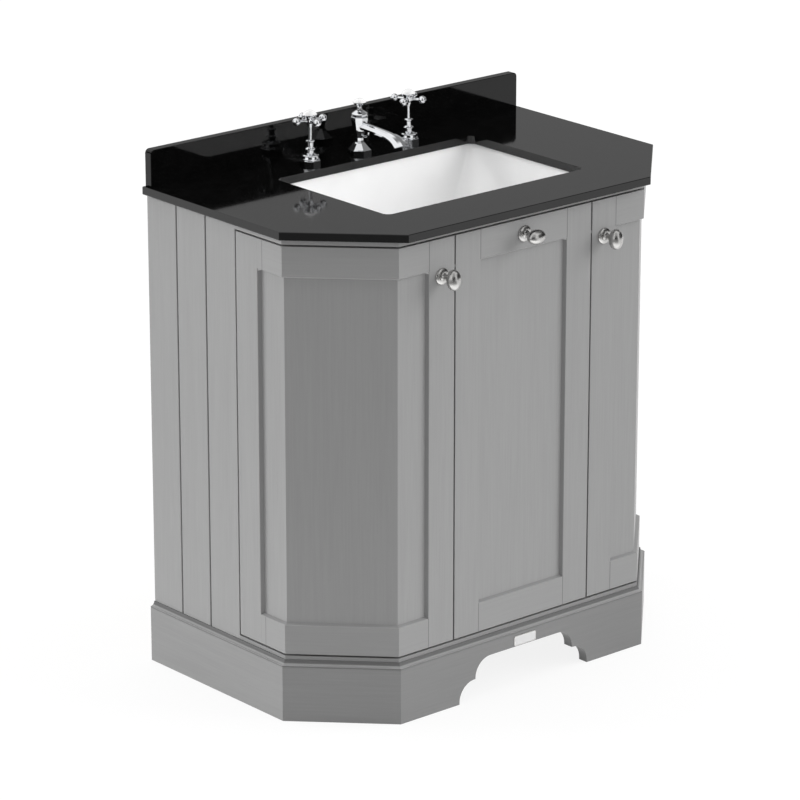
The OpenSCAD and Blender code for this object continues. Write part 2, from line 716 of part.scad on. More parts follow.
// Domed cap: a spherical segment
module dome(r, h) {
    ball = (r * r + h * h) / (2 * h);
    rotate_extrude() intersection() {
        translate([0, h - ball]) circle(ball, $fn = 128);
        square([r, h]);
    }
}
module hot_handle() color(chrome) at_tap(-tap_pitch) rotate([0, 0, hot_turn]) cross_handle();
module cold_handle() color(chrome) at_tap(tap_pitch) rotate([0, 0, cold_turn]) cross_handle();
module hot_cap() color(white) at_tap(-tap_pitch) translate([0, 0, cup_z + 1]) dome(cap_r - 0.5, cap_h);
module cold_cap() color(white) at_tap(tap_pitch) translate([0, 0, cup_z + 1]) dome(cap_r - 0.5, cap_h);

// Spout arm stations as [share of the reach, height above the arm's end, half width, half height]
arm_stations = [[0.06, 1, 7.5, 5], [0.2, 0.98, 7.5, 4.6], [0.4, 0.94, 8.3, 4.2],
    [0.6, 0.87, 9.4, 4], [0.78, 0.72, 11.2, 4.2], [0.91, 0.43, 13.2, 4.6], [1, 0, 14.5, 5]];
function arm_point(k) = [0, -arm_stations[k][0] * spout_reach,
    nozzle_h + arm_stations[k][1] * (arm_h - nozzle_h)];
function arm_pitch(k) = let (a = arm_point(max(k - 1, 0)), b = arm_point(min(k + 1, 6)), d = b - a)
    k == 6 ? -68 : atan2(d[2], -d[1]);
// Section of the arm: a flat underside and a ridged top with bevelled shoulders
function arm_section(w, h) = [[-w, -h * 0.3], [-w * 0.8, -h], [w * 0.8, -h], [w, -h * 0.3],
    [w * 0.62, h * 0.7], [w * 0.22, h], [-w * 0.22, h], [-w * 0.62, h * 0.7]];
function arm_ring(k) = let (p = arm_point(k), t = arm_pitch(k))
    [for (s = arm_section(arm_stations[k][2], arm_stations[k][3]))
        [s[0], p[1] - s[1] * sin(t) * -1, p[2] + s[1] * cos(t)]];
module spout_arm() {
    points = [for (k = [0 : 6]) each arm_ring(k)];
    sides = [for (k = [0 : 5], i = [0 : 7], half = [0, 1])
        let (a = k * 8 + i, b = k * 8 + (i + 1) % 8)
        half == 0 ? [a, b + 8, b] : [a, a + 8, b + 8]];
    caps = [[for (i = [0 : 7]) i], [for (i = [7 : -1 : 0]) 48 + i]];
    polyhedron(points, concat(sides, caps), convexity = 4);
}
module spout_body() color(chrome) at_tap(0) difference() {
    r = spout_base_r;
    union() {
        octagon_turned() polygon([[0, 0], [r, 0], [r, skirt_h], [r - 2, skirt_h + 1],
            [10, 15.5], [8, 17], [6.5, 20], [6.5, vase_h * 0.41], [7.5, vase_h * 0.475],
            [10.5, vase_h * 0.61], [vase_r - 2, vase_h * 0.78], [vase_r - 0.3, vase_h * 0.9],
            [vase_r, vase_h - 1], [vase_r - 0.6, vase_h], [vase_r - 3, vase_h + 0.6],
            [vase_r - 3, vase_h + 2], [vase_r - 1.2, vase_h + 2.6], [vase_r - 1.2, vase_h + 4],
            [8.5, vase_h + 7.5], [5.5, collar_h - 1.5], [5, collar_h], [0, collar_h]]);
        spout_arm();
        scroll();
        shank(shank_l);
    }
    translate([0, 0, -shank_l - 1]) cylinder(r = lift_r + spindle_fit, h = far);
}
// Scroll under the arm: part of a ring that curls back to the vase, with a small ball at its end
scroll_r = 9.5;
scroll_end = -150;
module scroll() translate([0, -12, arm_h - 8]) rotate([90, 0, -90]) rotate([0, 0, scroll_end]) {
    rotate_extrude(angle = 180) translate([scroll_r, 0]) circle(1.6, $fn = 16);
    translate([scroll_r, 0, 0]) sphere(2.6, $fn = 24);
}
// Brass block under the spout: the two link pipes meet in it and the lift rod passes through
module spout_tee() color("#b08d4f") from_wall() translate([0, tap_y, 0]) difference() {
    union() {
        translate([0, 0, tee_low_z]) cylinder(r = tee_r, h = tee_top_z - tee_low_z);
        for (side = [-1, 1]) translate([0, 0, link_z]) rotate([0, 90 * side, 0])
            cylinder(r = link_r + 2.5, h = tee_r + 6);
    }
    translate([0, 0, valve_low_z]) cylinder(r = shank_r, h = shank_l);
    translate([0, 0, tee_low_z - 1]) cylinder(r = lift_r + spindle_fit, h = shank_l);
}
module tap_washers() color(rubber) for (x = [-tap_pitch, 0, tap_pitch])
    at_tap(x) translate([0, 0, -worktop_t - tap_washer_t])
        ring(tap_nut_r + tap_washer_t, shank_r, tap_washer_t);
module tap_back_nuts() color("#b08d4f") for (x = [-tap_pitch, 0, tap_pitch])
    at_tap(x) translate([0, 0, -worktop_t - tap_washer_t - tap_nut_h]) difference() {
        cylinder(r = tap_nut_r, h = tap_nut_h, $fn = 6);
        translate([0, 0, -1]) cylinder(r = shank_r, h = tap_nut_h + 2);
    }
link_x0 = tee_r + 6;
link_x1 = tap_pitch - shank_r - 6;
module link_pipes() color("#b87748") from_wall() both_sides()
    translate([link_x0, tap_y, link_z]) rotate([0, 90, 0]) {
        ring(link_r, link_r - 1, link_x1 - link_x0);
        ring(link_r + 3, link_r, 10);
        translate([0, 0, link_x1 - link_x0 - 10]) ring(link_r + 3, link_r, 10);
    }

// Lift rod with its knob, in the spout's axis, and the strap that holds the lever
rod_low_z = tee_low_z - lift_travel - 24;
module lift_rod() color(chrome) from_wall() translate([0, tap_y, 0]) {
    top = unit_h + lift_cup_h;
    translate([0, 0, rod_low_z]) cylinder(r = lift_r, h = top - rod_low_z);
    translate([0, 0, top - 5]) rotate_extrude() polygon([[0, 0], [lift_r + 1.3, 0],
        [lift_r + 1.6, 1.5], [lift_r + 0.9, 2.6], [lift_cup_r - 5, 4.6], [lift_cup_r - 2, 7],
        [lift_cup_r - 0.4, 8.8], [lift_cup_r, 9.3], [lift_cup_r, 10], [0, 10]]);
}
module lift_cap() color(white) from_wall() translate([0, tap_y, unit_h + lift_cup_h + 5])
    dome(lift_cup_r - 0.5, lift_dome_h);
strap_low_z = lever_z - lever_out * tan(lever_tilt);
module lift_strap() color(steel) from_wall() difference() {
    union() {
        box(-strap_w / 2, strap_w / 2, strap_y - strap_t / 2, strap_y + strap_t / 2,
            strap_low_z - strap_w * 0.75, rod_low_z + clamp_l + 6);
        box(-strap_w / 2, strap_w / 2, tap_y - strap_w / 2, strap_y + strap_t / 2 + 3,
            rod_low_z + 4, rod_low_z + 4 + clamp_l);
    }
    translate([0, tap_y, rod_low_z - 1]) cylinder(r = lift_r, h = clamp_l + 46);
    translate([0, strap_y - 10, strap_low_z]) rotate([-90, 0, 0])
        cylinder(r = lever_r + lever_fit + 0.2, h = 20);
}

// Carcass

module side_panel() slab(base_z, worktop_z) difference() {
    translate([-half_w, -side_d]) square([board_t, side_d]);
    for (k = [1 : side_boards - 1]) translate([-half_w, -k * side_board_w])
        polygon([[-1, -groove_w / 2 - 0.5], [groove_depth, 0], [-1, groove_w / 2 + 0.5]]);
}
module peg_hole(x, y) translate([x, -y, base_top + shelf_h - peg_r]) rotate([0, 90, 0])
    cylinder(r = peg_r + peg_fit, h = 2 * peg_l + 0.4, center = true, $fn = 24);
module left_carcass_side() difference() {
    side_panel();
    for (y = [peg_back, peg_front]) peg_hole(-inner_x, y);
}
module left_side_panel() color(paint_side) from_wall() left_carcass_side();
module right_side_panel() color(paint_side) from_wall() mirror([1, 0, 0]) left_carcass_side();
// Boards that fill the outline: full width in front of the side panels, between them behind
function board_outline() = [[-inner_x, 0], [-inner_x, -side_d], [-half_w, -side_d],
    [-half_w, -corner_y(0)], [-corner_x(0), -cabinet_d], [corner_x(0), -cabinet_d],
    [half_w, -corner_y(0)], [half_w, -side_d], [inner_x, -side_d], [inner_x, 0]];
module base_board() color(paint) from_wall() slab(base_z, base_top) polygon(board_outline());
frame_hole_x = bowl_x + flange_w + 6;
module top_frame() color(paint) from_wall() slab(frame_z, worktop_z) difference() {
    polygon(board_outline());
    translate([-frame_hole_x, -post_back]) square([2 * frame_hole_x, post_back - board_t - 2]);
}
module partition() from_wall() difference() {
    union() {
        box(-board_t / 2, board_t / 2, -post_front, -board_t, base_top, base_top + partition_low_h);
        box(-board_t / 2, board_t / 2, -post_front, -post_back, base_top, frame_z);
    }
    translate([partition_x, 0, 0]) for (y = [peg_back, peg_front])
        peg_hole(-partition_x - board_t / 2, y);
}
module left_partition() color(timber) translate([-partition_x, 0, 0]) partition();
module right_partition() color(timber) translate([partition_x, 0, 0]) mirror([1, 0, 0]) partition();
module upper_back_rail() color(timber) from_wall() difference() {
    box(-inner_x, inner_x, -board_t, 0, frame_z - upper_rail_h, frame_z);
    for (x = [-1, 1]) translate([x * wall_hole_pitch / 2, 1, frame_z - upper_rail_h / 2])
        rotate([90, 0, 0]) cylinder(r = wall_hole_r, h = board_t + 2);
}
module lower_back_rail() color(timber) from_wall()
    box(-inner_x, inner_x, -board_t, 0, base_top, base_top + lower_rail_h);
module shelves() color(timber) from_wall() both_sides() {
    e = -(door_t + shelf_gap);
    x0 = inner_x - shelf_fit;
    x1 = partition_x + board_t / 2 + shelf_fit;
    y0 = board_t + 2;
    slab(base_top + shelf_h, base_top + shelf_h + shelf_t) polygon([[-x0, -y0], [-x0, -side_d],
        [-side_x(e), -side_d], [-side_x(e), -corner_y(e)], [-corner_x(e), -front_y(e)],
        [-x1, -front_y(e)], [-x1, -y0]]);
}
module shelf_pegs() color(steel) from_wall() both_sides()
    for (x = [-inner_x, -partition_x - board_t / 2], y = [peg_back, peg_front])
        translate([x, -y, base_top + shelf_h - peg_r]) rotate([0, 90, 0])
            cylinder(r = peg_r, h = 2 * peg_l, center = true, $fn = 24);
bumper_zs = [door_z + 30, door_top - 30];
module door_bumpers() color(rubber) from_wall()
    for (x = [-partition_x - 5.5, -partition_x + 5.5, partition_x + 5.5], z = bumper_zs)
        translate([x, -post_front, z]) rotate([90, 0, 0])
            cylinder(r1 = bumper_r, r2 = bumper_r - 0.8, h = cabinet_d - door_t - post_front - bumper_gap);

// Plinth and moulding

module plinth_profile() polygon([[plinth_proud - plinth_t, 0], [plinth_proud, 0],
    [plinth_proud, plinth_h - plinth_bevel], [plinth_proud - plinth_bevel, plinth_h],
    [plinth_proud - plinth_t, plinth_h]]);
arch_mid_z = arch_foot + arch_r;
arch_low_x = arch_half - arch_r;
arch_high_x = arch_low_x - arch_step - arch_r;
arch_high_z = arch_mid_z + arch_rise;
// Arch under the front board: two quarter arcs with a step between them, each side
module arch_shape() {
    translate([-arch_half, -1]) square([2 * arch_half, arch_foot + 1]);
    translate([-arch_low_x, 0]) square([2 * arch_low_x, arch_mid_z]);
    translate([-arch_high_x - arch_r, 0]) square([2 * (arch_high_x + arch_r), arch_high_z]);
    translate([-arch_high_x, 0]) square([2 * arch_high_x, arch_high_z + arch_r]);
    for (s = [-1, 1]) {
        translate([s * arch_low_x, arch_foot]) circle(arch_r);
        translate([s * arch_high_x, arch_high_z]) circle(arch_r);
    }
}
module plinth_front() color(paint) from_wall() difference() {
    both_sides() front_length(0) plinth_profile();
    translate([0, -cabinet_d + plinth_t, 0]) rotate([90, 0, 0]) linear_extrude(2 * plinth_t)
        arch_shape();
}
module plinth_corners() color(paint) from_wall() both_sides() corner_length() plinth_profile();
module plinth_sides() color(paint) from_wall() both_sides() side_length(0) plinth_profile();
plinth_in = plinth_proud - plinth_t;
module plinth_back_rail() color(timber) from_wall()
    box(-side_x(plinth_in), side_x(plinth_in), -board_t, 0, 0, plinth_h);
// Glue blocks: squares at the back, wedges behind the four mitres
module corner_blocks() color(timber) from_wall() both_sides() {
    x = side_x(plinth_in);
    box(-x, -x + block_s, -board_t - block_s, -board_t, 0, plinth_h);
    slab(0, plinth_h) {
        polygon([[-x, -corner_y(plinth_in) + block_s], [-x, -corner_y(plinth_in)],
            [-x + block_s / diagonal, -corner_y(plinth_in) - block_s / diagonal]]);
        polygon([[-corner_x(plinth_in) + block_s, -front_y(plinth_in)],
            [-corner_x(plinth_in) - block_s / diagonal, -front_y(plinth_in) + block_s / diagonal],
            [-corner_x(plinth_in), -front_y(plinth_in)]]);
    }
}
// Cove: a quarter arc hollowed from the top, down to a square nose
cove_steps = 8;
cove_z = plinth_h + cove_h;
module cove_profile() polygon(concat([[0, plinth_h], [plinth_proud, plinth_h]],
    [for (k = [0 : cove_steps]) let (a = 90 * k / cove_steps)
        [plinth_proud - cove_r * sin(a), cove_z - cove_r * cos(a)]],
    [[0, cove_z]]));
module plinth_moulding() color(paint) from_wall() {
    both_sides() {
        side_length(0) cove_profile();
        corner_length() cove_profile();
    }
    both_sides() front_length(0) cove_profile();
}

// Doors

// Stile drawn from the door's edge at x = 0 inward, its face at y = 0 and its back towards +Y
module stile() difference() {
    intersection() {
        linear_extrude(door_h) polygon([[0, 0], [stile_w, 0], [edge_w, recess], [edge_w, door_t],
            [0, door_t]]);
        translate([0, door_t, 0]) rotate([90, 0, 0]) linear_extrude(door_t) polygon([[0, 0],
            [stile_w, 0], [stile_w, rail_w], [edge_w, edge_h], [edge_w, door_h - edge_h],
            [stile_w, door_h - rail_w], [stile_w, door_h], [0, door_h]]);
    }
    box(slot_bottom_u, edge_w + 1, recess, recess + slot_t, slot_bottom_z, door_h - slot_bottom_z);
    for (z = [0, door_h - rail_w]) box(stile_w - tenon_l - 0.5, edge_w + 1, recess, recess + slot_t,
        z + tenon_shoulder - joinery_fit, z + rail_w - tenon_shoulder + joinery_fit);
}
module hinge_stile() difference() {
    stile();
    for (z = [hinge_inset, door_h - hinge_inset]) translate([cup_edge, door_t + 1, z])
        rotate([90, 0, 0]) cylinder(r = cup_r + joinery_fit, h = cup_depth + 1);
}
// Profile of the lower rail as (distance out from the face, height from the door's end)
module rail_profile() difference() {
    polygon([[0, 0], [0, rail_w], [-recess, edge_h], [-door_t, edge_h], [-door_t, 0]]);
    translate([-recess - slot_t, slot_bottom_z]) square([slot_t, panel_groove + 1]);
}
// Small wedge that mitres a rail's bevel against the stile's, drawn like a stile
module mitre_nick() translate([0, door_t + 1, 0]) rotate([90, 0, 0]) linear_extrude(door_t + 2)
    polygon([[-1, rail_w - 1], [0, rail_w], [bevel_w + 1, edge_h + 1], [-1, edge_h + 1]]);
module tenon() box(-tenon_l, 1, recess + joinery_fit, recess + joinery_fit + panel_t,
    tenon_shoulder, rail_w - tenon_shoulder);
// Places that turn a piece drawn like a stile onto the side strip and the front strip
module on_side(y) translate([-half_w, -y, 0]) rotate([0, 0, -90]) children();
module on_front(x) translate([x, -cabinet_d, 0]) mirror([1, 0, 0]) children();
// Rails end a hair short of the stiles, which leaves the fine joint lines of a painted frame
side_end = door_hinge_y + stile_w + joinery_fit;
front_end = -(door_free_x + stile_w + joinery_fit);
module corner_rail() {
    difference() {
        wrap(side_end, front_end) rail_profile();
        on_side(side_end) mitre_nick();
        on_front(front_end) mitre_nick();
    }
    on_side(side_end) tenon();
    on_front(front_end) tenon();
}
module door_level() translate([0, 0, door_z]) children();
// Lower rail and its twin turned over for the top
module rail_pair() {
    door_level() children();
    translate([0, 0, door_top]) mirror([0, 0, 1]) children();
}
module corner_door_frame() {
    door_level() on_side(door_hinge_y) hinge_stile();
    door_level() on_front(-door_free_x) difference() {
        stile();
        knob_hole(stile_w / 2, door_h - knob_drop);
    }
    rail_pair() corner_rail();
}
module knob_hole(x, z) translate([x, -1, z]) rotate([-90, 0, 0])
    cylinder(r = stud_r + joinery_fit, h = stud_l + 1.5, $fn = 24);
module corner_door_panel() {
    out = -recess - joinery_fit;
    back = out - panel_t;
    inset_u = slot_bottom_u + 0.5;
    y0 = door_hinge_y + inset_u;
    x1 = -(door_free_x + inset_u);
    slab(door_z + slot_bottom_z + 0.5, door_top - slot_bottom_z - 0.5) polygon([
        [-side_x(out), -y0], [-side_x(out), -corner_y(out)], [-corner_x(out), -front_y(out)],
        [x1, -front_y(out)], [x1, -front_y(back)], [-corner_x(back), -front_y(back)],
        [-side_x(back), -corner_y(back)], [-side_x(back), -y0]]);
}
module left_door_frame() color(paint) from_wall() corner_door_frame();
module right_door_frame() color(paint) from_wall() mirror([1, 0, 0]) corner_door_frame();
module left_door_panel() color(paint) from_wall() corner_door_panel();
module right_door_panel() color(paint) from_wall() mirror([1, 0, 0]) corner_door_panel();

module centre_rail() {
    x = centre_half - stile_w - joinery_fit;
    difference() {
        intersection() {
            face_run(270, cabinet_d) rail_profile();
            box(-x, x, -cabinet_d - 1, 0, -1, edge_h + 1);
        }
        both_sides() translate([-x, -cabinet_d, 0]) mitre_nick();
    }
    both_sides() translate([-x, -cabinet_d, 0]) tenon();
}
module centre_door_frame() color(paint) from_wall() {
    door_level() translate([-centre_half, -cabinet_d, 0]) stile();
    door_level() translate([centre_half, -cabinet_d, 0]) mirror([1, 0, 0]) hinge_stile();
    door_level() centre_rail();
    difference() {
        translate([0, 0, door_top]) mirror([0, 0, 1]) centre_rail();
        translate([0, -cabinet_d, 0]) knob_hole(0, door_top - rail_w / 2);
    }
}
module centre_door_panel() color(paint) from_wall() {
    x = centre_half - slot_bottom_u - 0.5;
    front = -cabinet_d + recess + joinery_fit;
    box(-x, x, front, front + panel_t, door_z + slot_bottom_z + 0.5, door_top - slot_bottom_z - 0.5);
}

// Knob drawn on the z axis, its rose on the door's face at z = 0, the head lying along x
module knob() {
    dish = rose_r - knob_neck_r;
    rotate_extrude() polygon(concat([[0, 0], [rose_r, 0]],
        [for (a = [0 : 9 : 81]) [rose_r - dish + dish * cos(a), 1 + (rose_t - 1) * sin(a)]],
        [[knob_neck_r + 0.4, rose_t + 1], [knob_neck_r - 0.6, rose_t + 3],
        [knob_neck_r - 0.8, rose_t + 5.5], [knob_neck_r, knob_stand - knob_d / 2 + 1],
        [knob_neck_r, knob_stand - knob_d / 4], [0, knob_stand - knob_d / 4]]));
    translate([0, 0, knob_stand]) rotate([0, 90, 0]) egg();
    translate([0, 0, -stud_l]) cylinder(r = stud_r, h = stud_l + 1, $fn = 24);
}
// Oval head: an ellipse turned about its long axis
module egg() rotate_extrude() polygon([for (k = [0 : 32]) let (a = -90 + 180 * k / 32)
    [knob_d / 2 * cos(a), knob_l / 2 * sin(a)]]);
module on_door(x, z) from_wall() translate([x, -cabinet_d, z]) rotate([90, 0, 0]) children();
side_knob_x = door_free_x + stile_w / 2;
module left_knob() color(satin) on_door(-side_knob_x, door_top - knob_drop) rotate([0, 0, 90]) knob();
module right_knob() color(satin) on_door(side_knob_x, door_top - knob_drop) rotate([0, 0, 90]) knob();
module centre_knob() color(satin) on_door(0, door_top - rail_w / 2) knob();

// Hinges, drawn round the pin: x towards the door's hinge edge, y into the cabinet

cup_x = pin_edge - cup_edge;
inner_face = door_t - pin_depth;
module hinge_cup() {
    cheek_z = arm_w / 2 + 0.4;
    cheek = cup_r - cheek_z;
    difference() {
        union() {
            translate([cup_x, inner_face + flange_t, 0]) rotate([90, 0, 0])
                cylinder(r = cup_r, h = cup_depth + flange_t);
            translate([cup_x - 8, inner_face, -cup_r - 12]) cube([16, flange_t, 2 * cup_r + 24]);
        }
        difference() {
            translate([cup_x, inner_face + flange_t + 1, 0]) rotate([90, 0, 0])
                cylinder(r = cup_r - cup_wall, h = cup_depth + flange_t + 1 - cup_wall);
            for (side = [-1, 1]) translate([-3, inner_face - cup_depth, side * (cheek_z + cheek / 2)])
                translate([0, 0, -cheek / 2]) cube([6, cup_depth - inner_face + 3, cheek]);
        }
        cylinder(r = pin_r, h = 2 * cup_r, center = true, $fn = 24);
    }
    cylinder(r = pin_r, h = 2 * (sqrt(pow(cup_r, 2) - pow(cup_x, 2)) - 0.5), center = true, $fn = 24);
}
// Arm strip: knuckle at the pin, a crank that clears the door's corner, then the fixing leg
module arm_shape(leg) difference() {
    union() {
        circle(knuckle_r, $fn = 32);
        translate([-arm_bend - arm_t / 2, 0.7]) square([arm_bend + arm_t / 2, arm_t]);
        translate([-arm_bend - arm_t / 2, 0.7]) square([arm_t, arm_reach + arm_t / 2 - 0.7]);
        children();
    }
    circle(pin_r + pin_fit, $fn = 32);
}
module hinge_arm() translate([0, 0, -arm_w / 2]) linear_extrude(arm_w) arm_shape() children();
leg_top = arm_reach + arm_t / 2;
leg_low = arm_reach - arm_t / 2;
corner_leg_end = plate_start + plate_l;
module corner_arm() hinge_arm()
    translate([-arm_bend - arm_t / 2, leg_low])
        square([corner_leg_end + arm_bend + arm_t / 2, arm_t]);
post_face = partition_x - board_t / 2 - centre_pin[0];
centre_plate_t = 2.5;
leg_x = post_face - centre_plate_t;
module centre_arm() hinge_arm() {
    translate([-arm_bend - arm_t / 2, leg_low]) square([leg_x + arm_bend + arm_t / 2, arm_t]);
    translate([leg_x - arm_t, leg_low]) square([arm_t, plate_l]);
}
module at_right_hinges() from_wall() for (z = hinge_zs)
    translate([corner_pin[0], corner_pin[1], z]) rotate([0, 0, 90]) children();
module at_left_hinges() mirror([1, 0, 0]) at_right_hinges() children();
module at_centre_hinges() from_wall() for (z = hinge_zs)
    translate([centre_pin[0], centre_pin[1], z]) children();
module left_hinge_cups() color(steel) at_left_hinges() hinge_cup();
module right_hinge_cups() color(steel) at_right_hinges() hinge_cup();
module centre_hinge_cups() color(steel) at_centre_hinges() hinge_cup();
module corner_hinge_arms() color(steel) {
    at_left_hinges() corner_arm();
    at_right_hinges() corner_arm();
}
module centre_hinge_arms() color(steel) at_centre_hinges() centre_arm();
panel_face = board_t - pin_depth;
module corner_plate() translate([plate_start, panel_face, -plate_h / 2])
    cube([plate_l, leg_low - panel_face, plate_h]);
module centre_plate() translate([leg_x, arm_reach, -plate_h / 2])
    cube([centre_plate_t, plate_l - 2, plate_h]);
module hinge_plates() color(steel) {
    at_left_hinges() corner_plate();
    at_right_hinges() corner_plate();
    at_centre_hinges() centre_plate();
}

worktop();
upstand();
basin();
basin_clips();
waste_body();
waste_washer();
waste_nut();
lever_port_nut();
trap_nut();
trap_body();
trap_cup();
trap_outlet_pipe();
hot_valve_body();
cold_valve_body();
spout_body();
spout_tee();
tap_washers();
tap_back_nuts();
link_pipes();
left_side_panel();
right_side_panel();
base_board();
top_frame();
left_partition();
right_partition();
upper_back_rail();
lower_back_rail();
shelves();
shelf_pegs();
plinth_front();
plinth_corners();
plinth_sides();
plinth_back_rail();
corner_blocks();
plinth_moulding();
door_bumpers();
corner_hinge_arms();
centre_hinge_arms();
hinge_plates();
left_door_frame();
left_door_panel();
left_knob();
left_hinge_cups();
centre_door_frame();
centre_door_panel();
centre_knob();
centre_hinge_cups();
right_door_frame();
right_door_panel();
right_knob();
right_hinge_cups();
hot_handle();
hot_cap();
cold_handle();
cold_cap();
lift_rod();
lift_cap();
lift_strap();
pivot_lever();
waste_plug();
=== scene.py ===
"""Looks of the vanity unit with angled front corners: metres, in the part's own frame."""

import math

import bmesh
import bpy
from mathutils import Euler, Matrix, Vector


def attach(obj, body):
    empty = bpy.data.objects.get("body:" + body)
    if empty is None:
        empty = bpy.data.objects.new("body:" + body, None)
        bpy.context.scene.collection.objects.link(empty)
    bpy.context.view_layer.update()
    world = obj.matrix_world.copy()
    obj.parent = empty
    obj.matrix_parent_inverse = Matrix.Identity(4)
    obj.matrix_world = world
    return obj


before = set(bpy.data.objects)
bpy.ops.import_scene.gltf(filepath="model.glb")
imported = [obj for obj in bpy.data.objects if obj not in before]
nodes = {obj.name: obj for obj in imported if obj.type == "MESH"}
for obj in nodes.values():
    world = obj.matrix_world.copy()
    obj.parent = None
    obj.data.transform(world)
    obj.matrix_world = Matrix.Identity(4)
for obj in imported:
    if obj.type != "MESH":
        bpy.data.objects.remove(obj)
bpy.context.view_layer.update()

# ---------------------------------------------------------------- sizes shared with the part
BACK = 0.24525            # the wall plane, y
SIDE_X = 0.376            # outer faces of the doors and side panels, x
FRONT_Y = -0.20675        # outer faces of the doors at the front, y
CORNER_OUT = 0.32440      # distance of the angled faces from the frame's centre line
DOOR_LOW, DOOR_HIGH = 0.108, 0.760
RAIL_W, STILE_W = 0.047, 0.050
BEVEL_W, RECESS = 0.003, 0.006
PLINTH_Y = -0.21575       # front face of the plinth, y
CENTRE_HALF = 0.139       # half the width of the centre door
DOOR_GAP = 0.003
SIDE_EDGE_Y = BACK - 0.231    # hinged edges of the corner doors, y


# ---------------------------------------------------------------- small helpers
class Tree:
    """A node tree, with short calls for the nodes that the materials, floor and world share."""

    def __init__(self, owner):
        owner.use_nodes = True
        self.tree = owner.node_tree
        self.tree.nodes.clear()

    def node(self, kind):
        return self.tree.nodes.new(kind)

    def link(self, a, b):
        self.tree.links.new(a, b)

    def put(self, socket, value):
        """Set a socket to a number or a colour, or link it to an output."""
        if isinstance(value, tuple):
            socket.default_value = (*value, 1)
        elif isinstance(value, (int, float)):
            socket.default_value = value
        else:
            self.link(value, socket)

    def math(self, operation, a, b=None):
        m = self.node("ShaderNodeMath")
        m.operation = operation
        for socket, value in zip(m.inputs, (a, b)):
            if value is not None:
                self.put(socket, value)
        return m.outputs[0]

    def mix(self, factor, a, b):
        """Colour mix; a and b are colours or outputs."""
        m = self.node("ShaderNodeMix")
        m.data_type = "RGBA"
        for socket, value in zip((m.inputs[0], m.inputs[6], m.inputs[7]), (factor, a, b)):
            self.put(socket, value)
        return m.outputs[2]

    def spread(self, value, low, high, to_low=0.0, to_high=1.0, smooth=False):
        m = self.node("ShaderNodeMapRange")
        m.interpolation_type = "SMOOTHSTEP" if smooth else "LINEAR"
        m.inputs["From Min"].default_value = low
        m.inputs["From Max"].default_value = high
        m.inputs["To Min"].default_value = to_low
        m.inputs["To Max"].default_value = to_high
        self.link(value, m.inputs["Value"])
        return m.outputs["Result"]

    def length(self, vector):
        m = self.node("ShaderNodeVectorMath")
        m.operation = "LENGTH"
        self.link(vector, m.inputs[0])
        return m.outputs["Value"]

    def along(self, vector, direction):
        m = self.node("ShaderNodeVectorMath")
        m.operation = "DOT_PRODUCT"
        self.link(vector, m.inputs[0])
        m.inputs[1].default_value = Vector(direction).normalized()
        return m.outputs["Value"]

    def seen(self, rays):
        """1 on rays of the camera, the gloss and the glass, 0 on those that carry light."""
        return self.math("MAXIMUM", self.math("MAXIMUM", rays["Is Camera Ray"],
                                              rays["Is Glossy Ray"]), rays["Is Transmission Ray"])

    def either(self, choice, first, second, out_kind):
        """Output that shows the first shader where choice is 0 and the second where it is 1."""
        m = self.node("ShaderNodeMixShader")
        self.link(choice, m.inputs[0])
        self.link(first, m.inputs[1])
        self.link(second, m.inputs[2])
        self.link(m.outputs[0], self.node(out_kind).inputs["Surface"])


class Finish(Tree):
    """A material of the part, whose colour and gloss follow the place on it."""

    def __init__(self, name, colour, roughness, metallic=0.0, ior=1.5, coat=0.0, coat_rough=0.05):
        self.material = bpy.data.materials.new(name)
        super().__init__(self.material)
        self.material.diffuse_color = (*colour, 1)
        self.shader = self.node("ShaderNodeBsdfPrincipled")
        out = self.node("ShaderNodeOutputMaterial")
        self.link(self.shader.outputs["BSDF"], out.inputs["Surface"])
        for socket, value in (("Base Color", colour), ("Roughness", roughness),
                              ("Metallic", metallic), ("IOR", ior), ("Coat Weight", coat),
                              ("Coat Roughness", coat_rough)):
            self.put(self.shader.inputs[socket], value)
        self.place = self.node("ShaderNodeTexCoord").outputs["Object"]

    def noise(self, x, y, z, detail=3.0, rough=0.55, distortion=0.0):
        scaled = self.node("ShaderNodeMapping")
        scaled.vector_type = "POINT"
        scaled.inputs["Scale"].default_value = (x, y, z)
        self.link(self.place, scaled.inputs["Vector"])
        n = self.node("ShaderNodeTexNoise")
        n.inputs["Scale"].default_value = 1.0
        n.inputs["Detail"].default_value = detail
        n.inputs["Roughness"].default_value = rough
        n.inputs["Distortion"].default_value = distortion
        self.link(scaled.outputs["Vector"], n.inputs["Vector"])
        return n.outputs["Fac"]

    def crystals(self, scale):
        """Three random values for each cell."""
        cells = self.node("ShaderNodeTexVoronoi")
        cells.inputs["Scale"].default_value = scale
        self.link(self.place, cells.inputs["Vector"])
        split = self.node("ShaderNodeSeparateColor")
        self.link(cells.outputs["Color"], split.inputs[0])
        return split.outputs

    def xyz(self):
        split = self.node("ShaderNodeSeparateXYZ")
        self.link(self.place, split.inputs[0])
        return split.outputs

    def colour(self, value):
        self.link(value, self.shader.inputs["Base Color"])

    def roughness(self, value):
        self.link(value, self.shader.inputs["Roughness"])

    def bump(self, height, strength, distance):
        b = self.node("ShaderNodeBump")
        b.inputs["Strength"].default_value = strength
        b.inputs["Distance"].default_value = distance
        self.link(height, b.inputs["Height"])
        self.link(b.outputs["Normal"], self.shader.inputs["Normal"])


def add_object(name, bm, materials):
    """Object made from bm, which ends here."""
    mesh = bpy.data.meshes.new(name)
    bm.to_mesh(mesh)
    bm.free()
    for material in materials:
        mesh.materials.append(material)
    obj = bpy.data.objects.new(name, mesh)
    bpy.context.scene.collection.objects.link(obj)
    return obj


def grey(level):
    return (level, level, level)


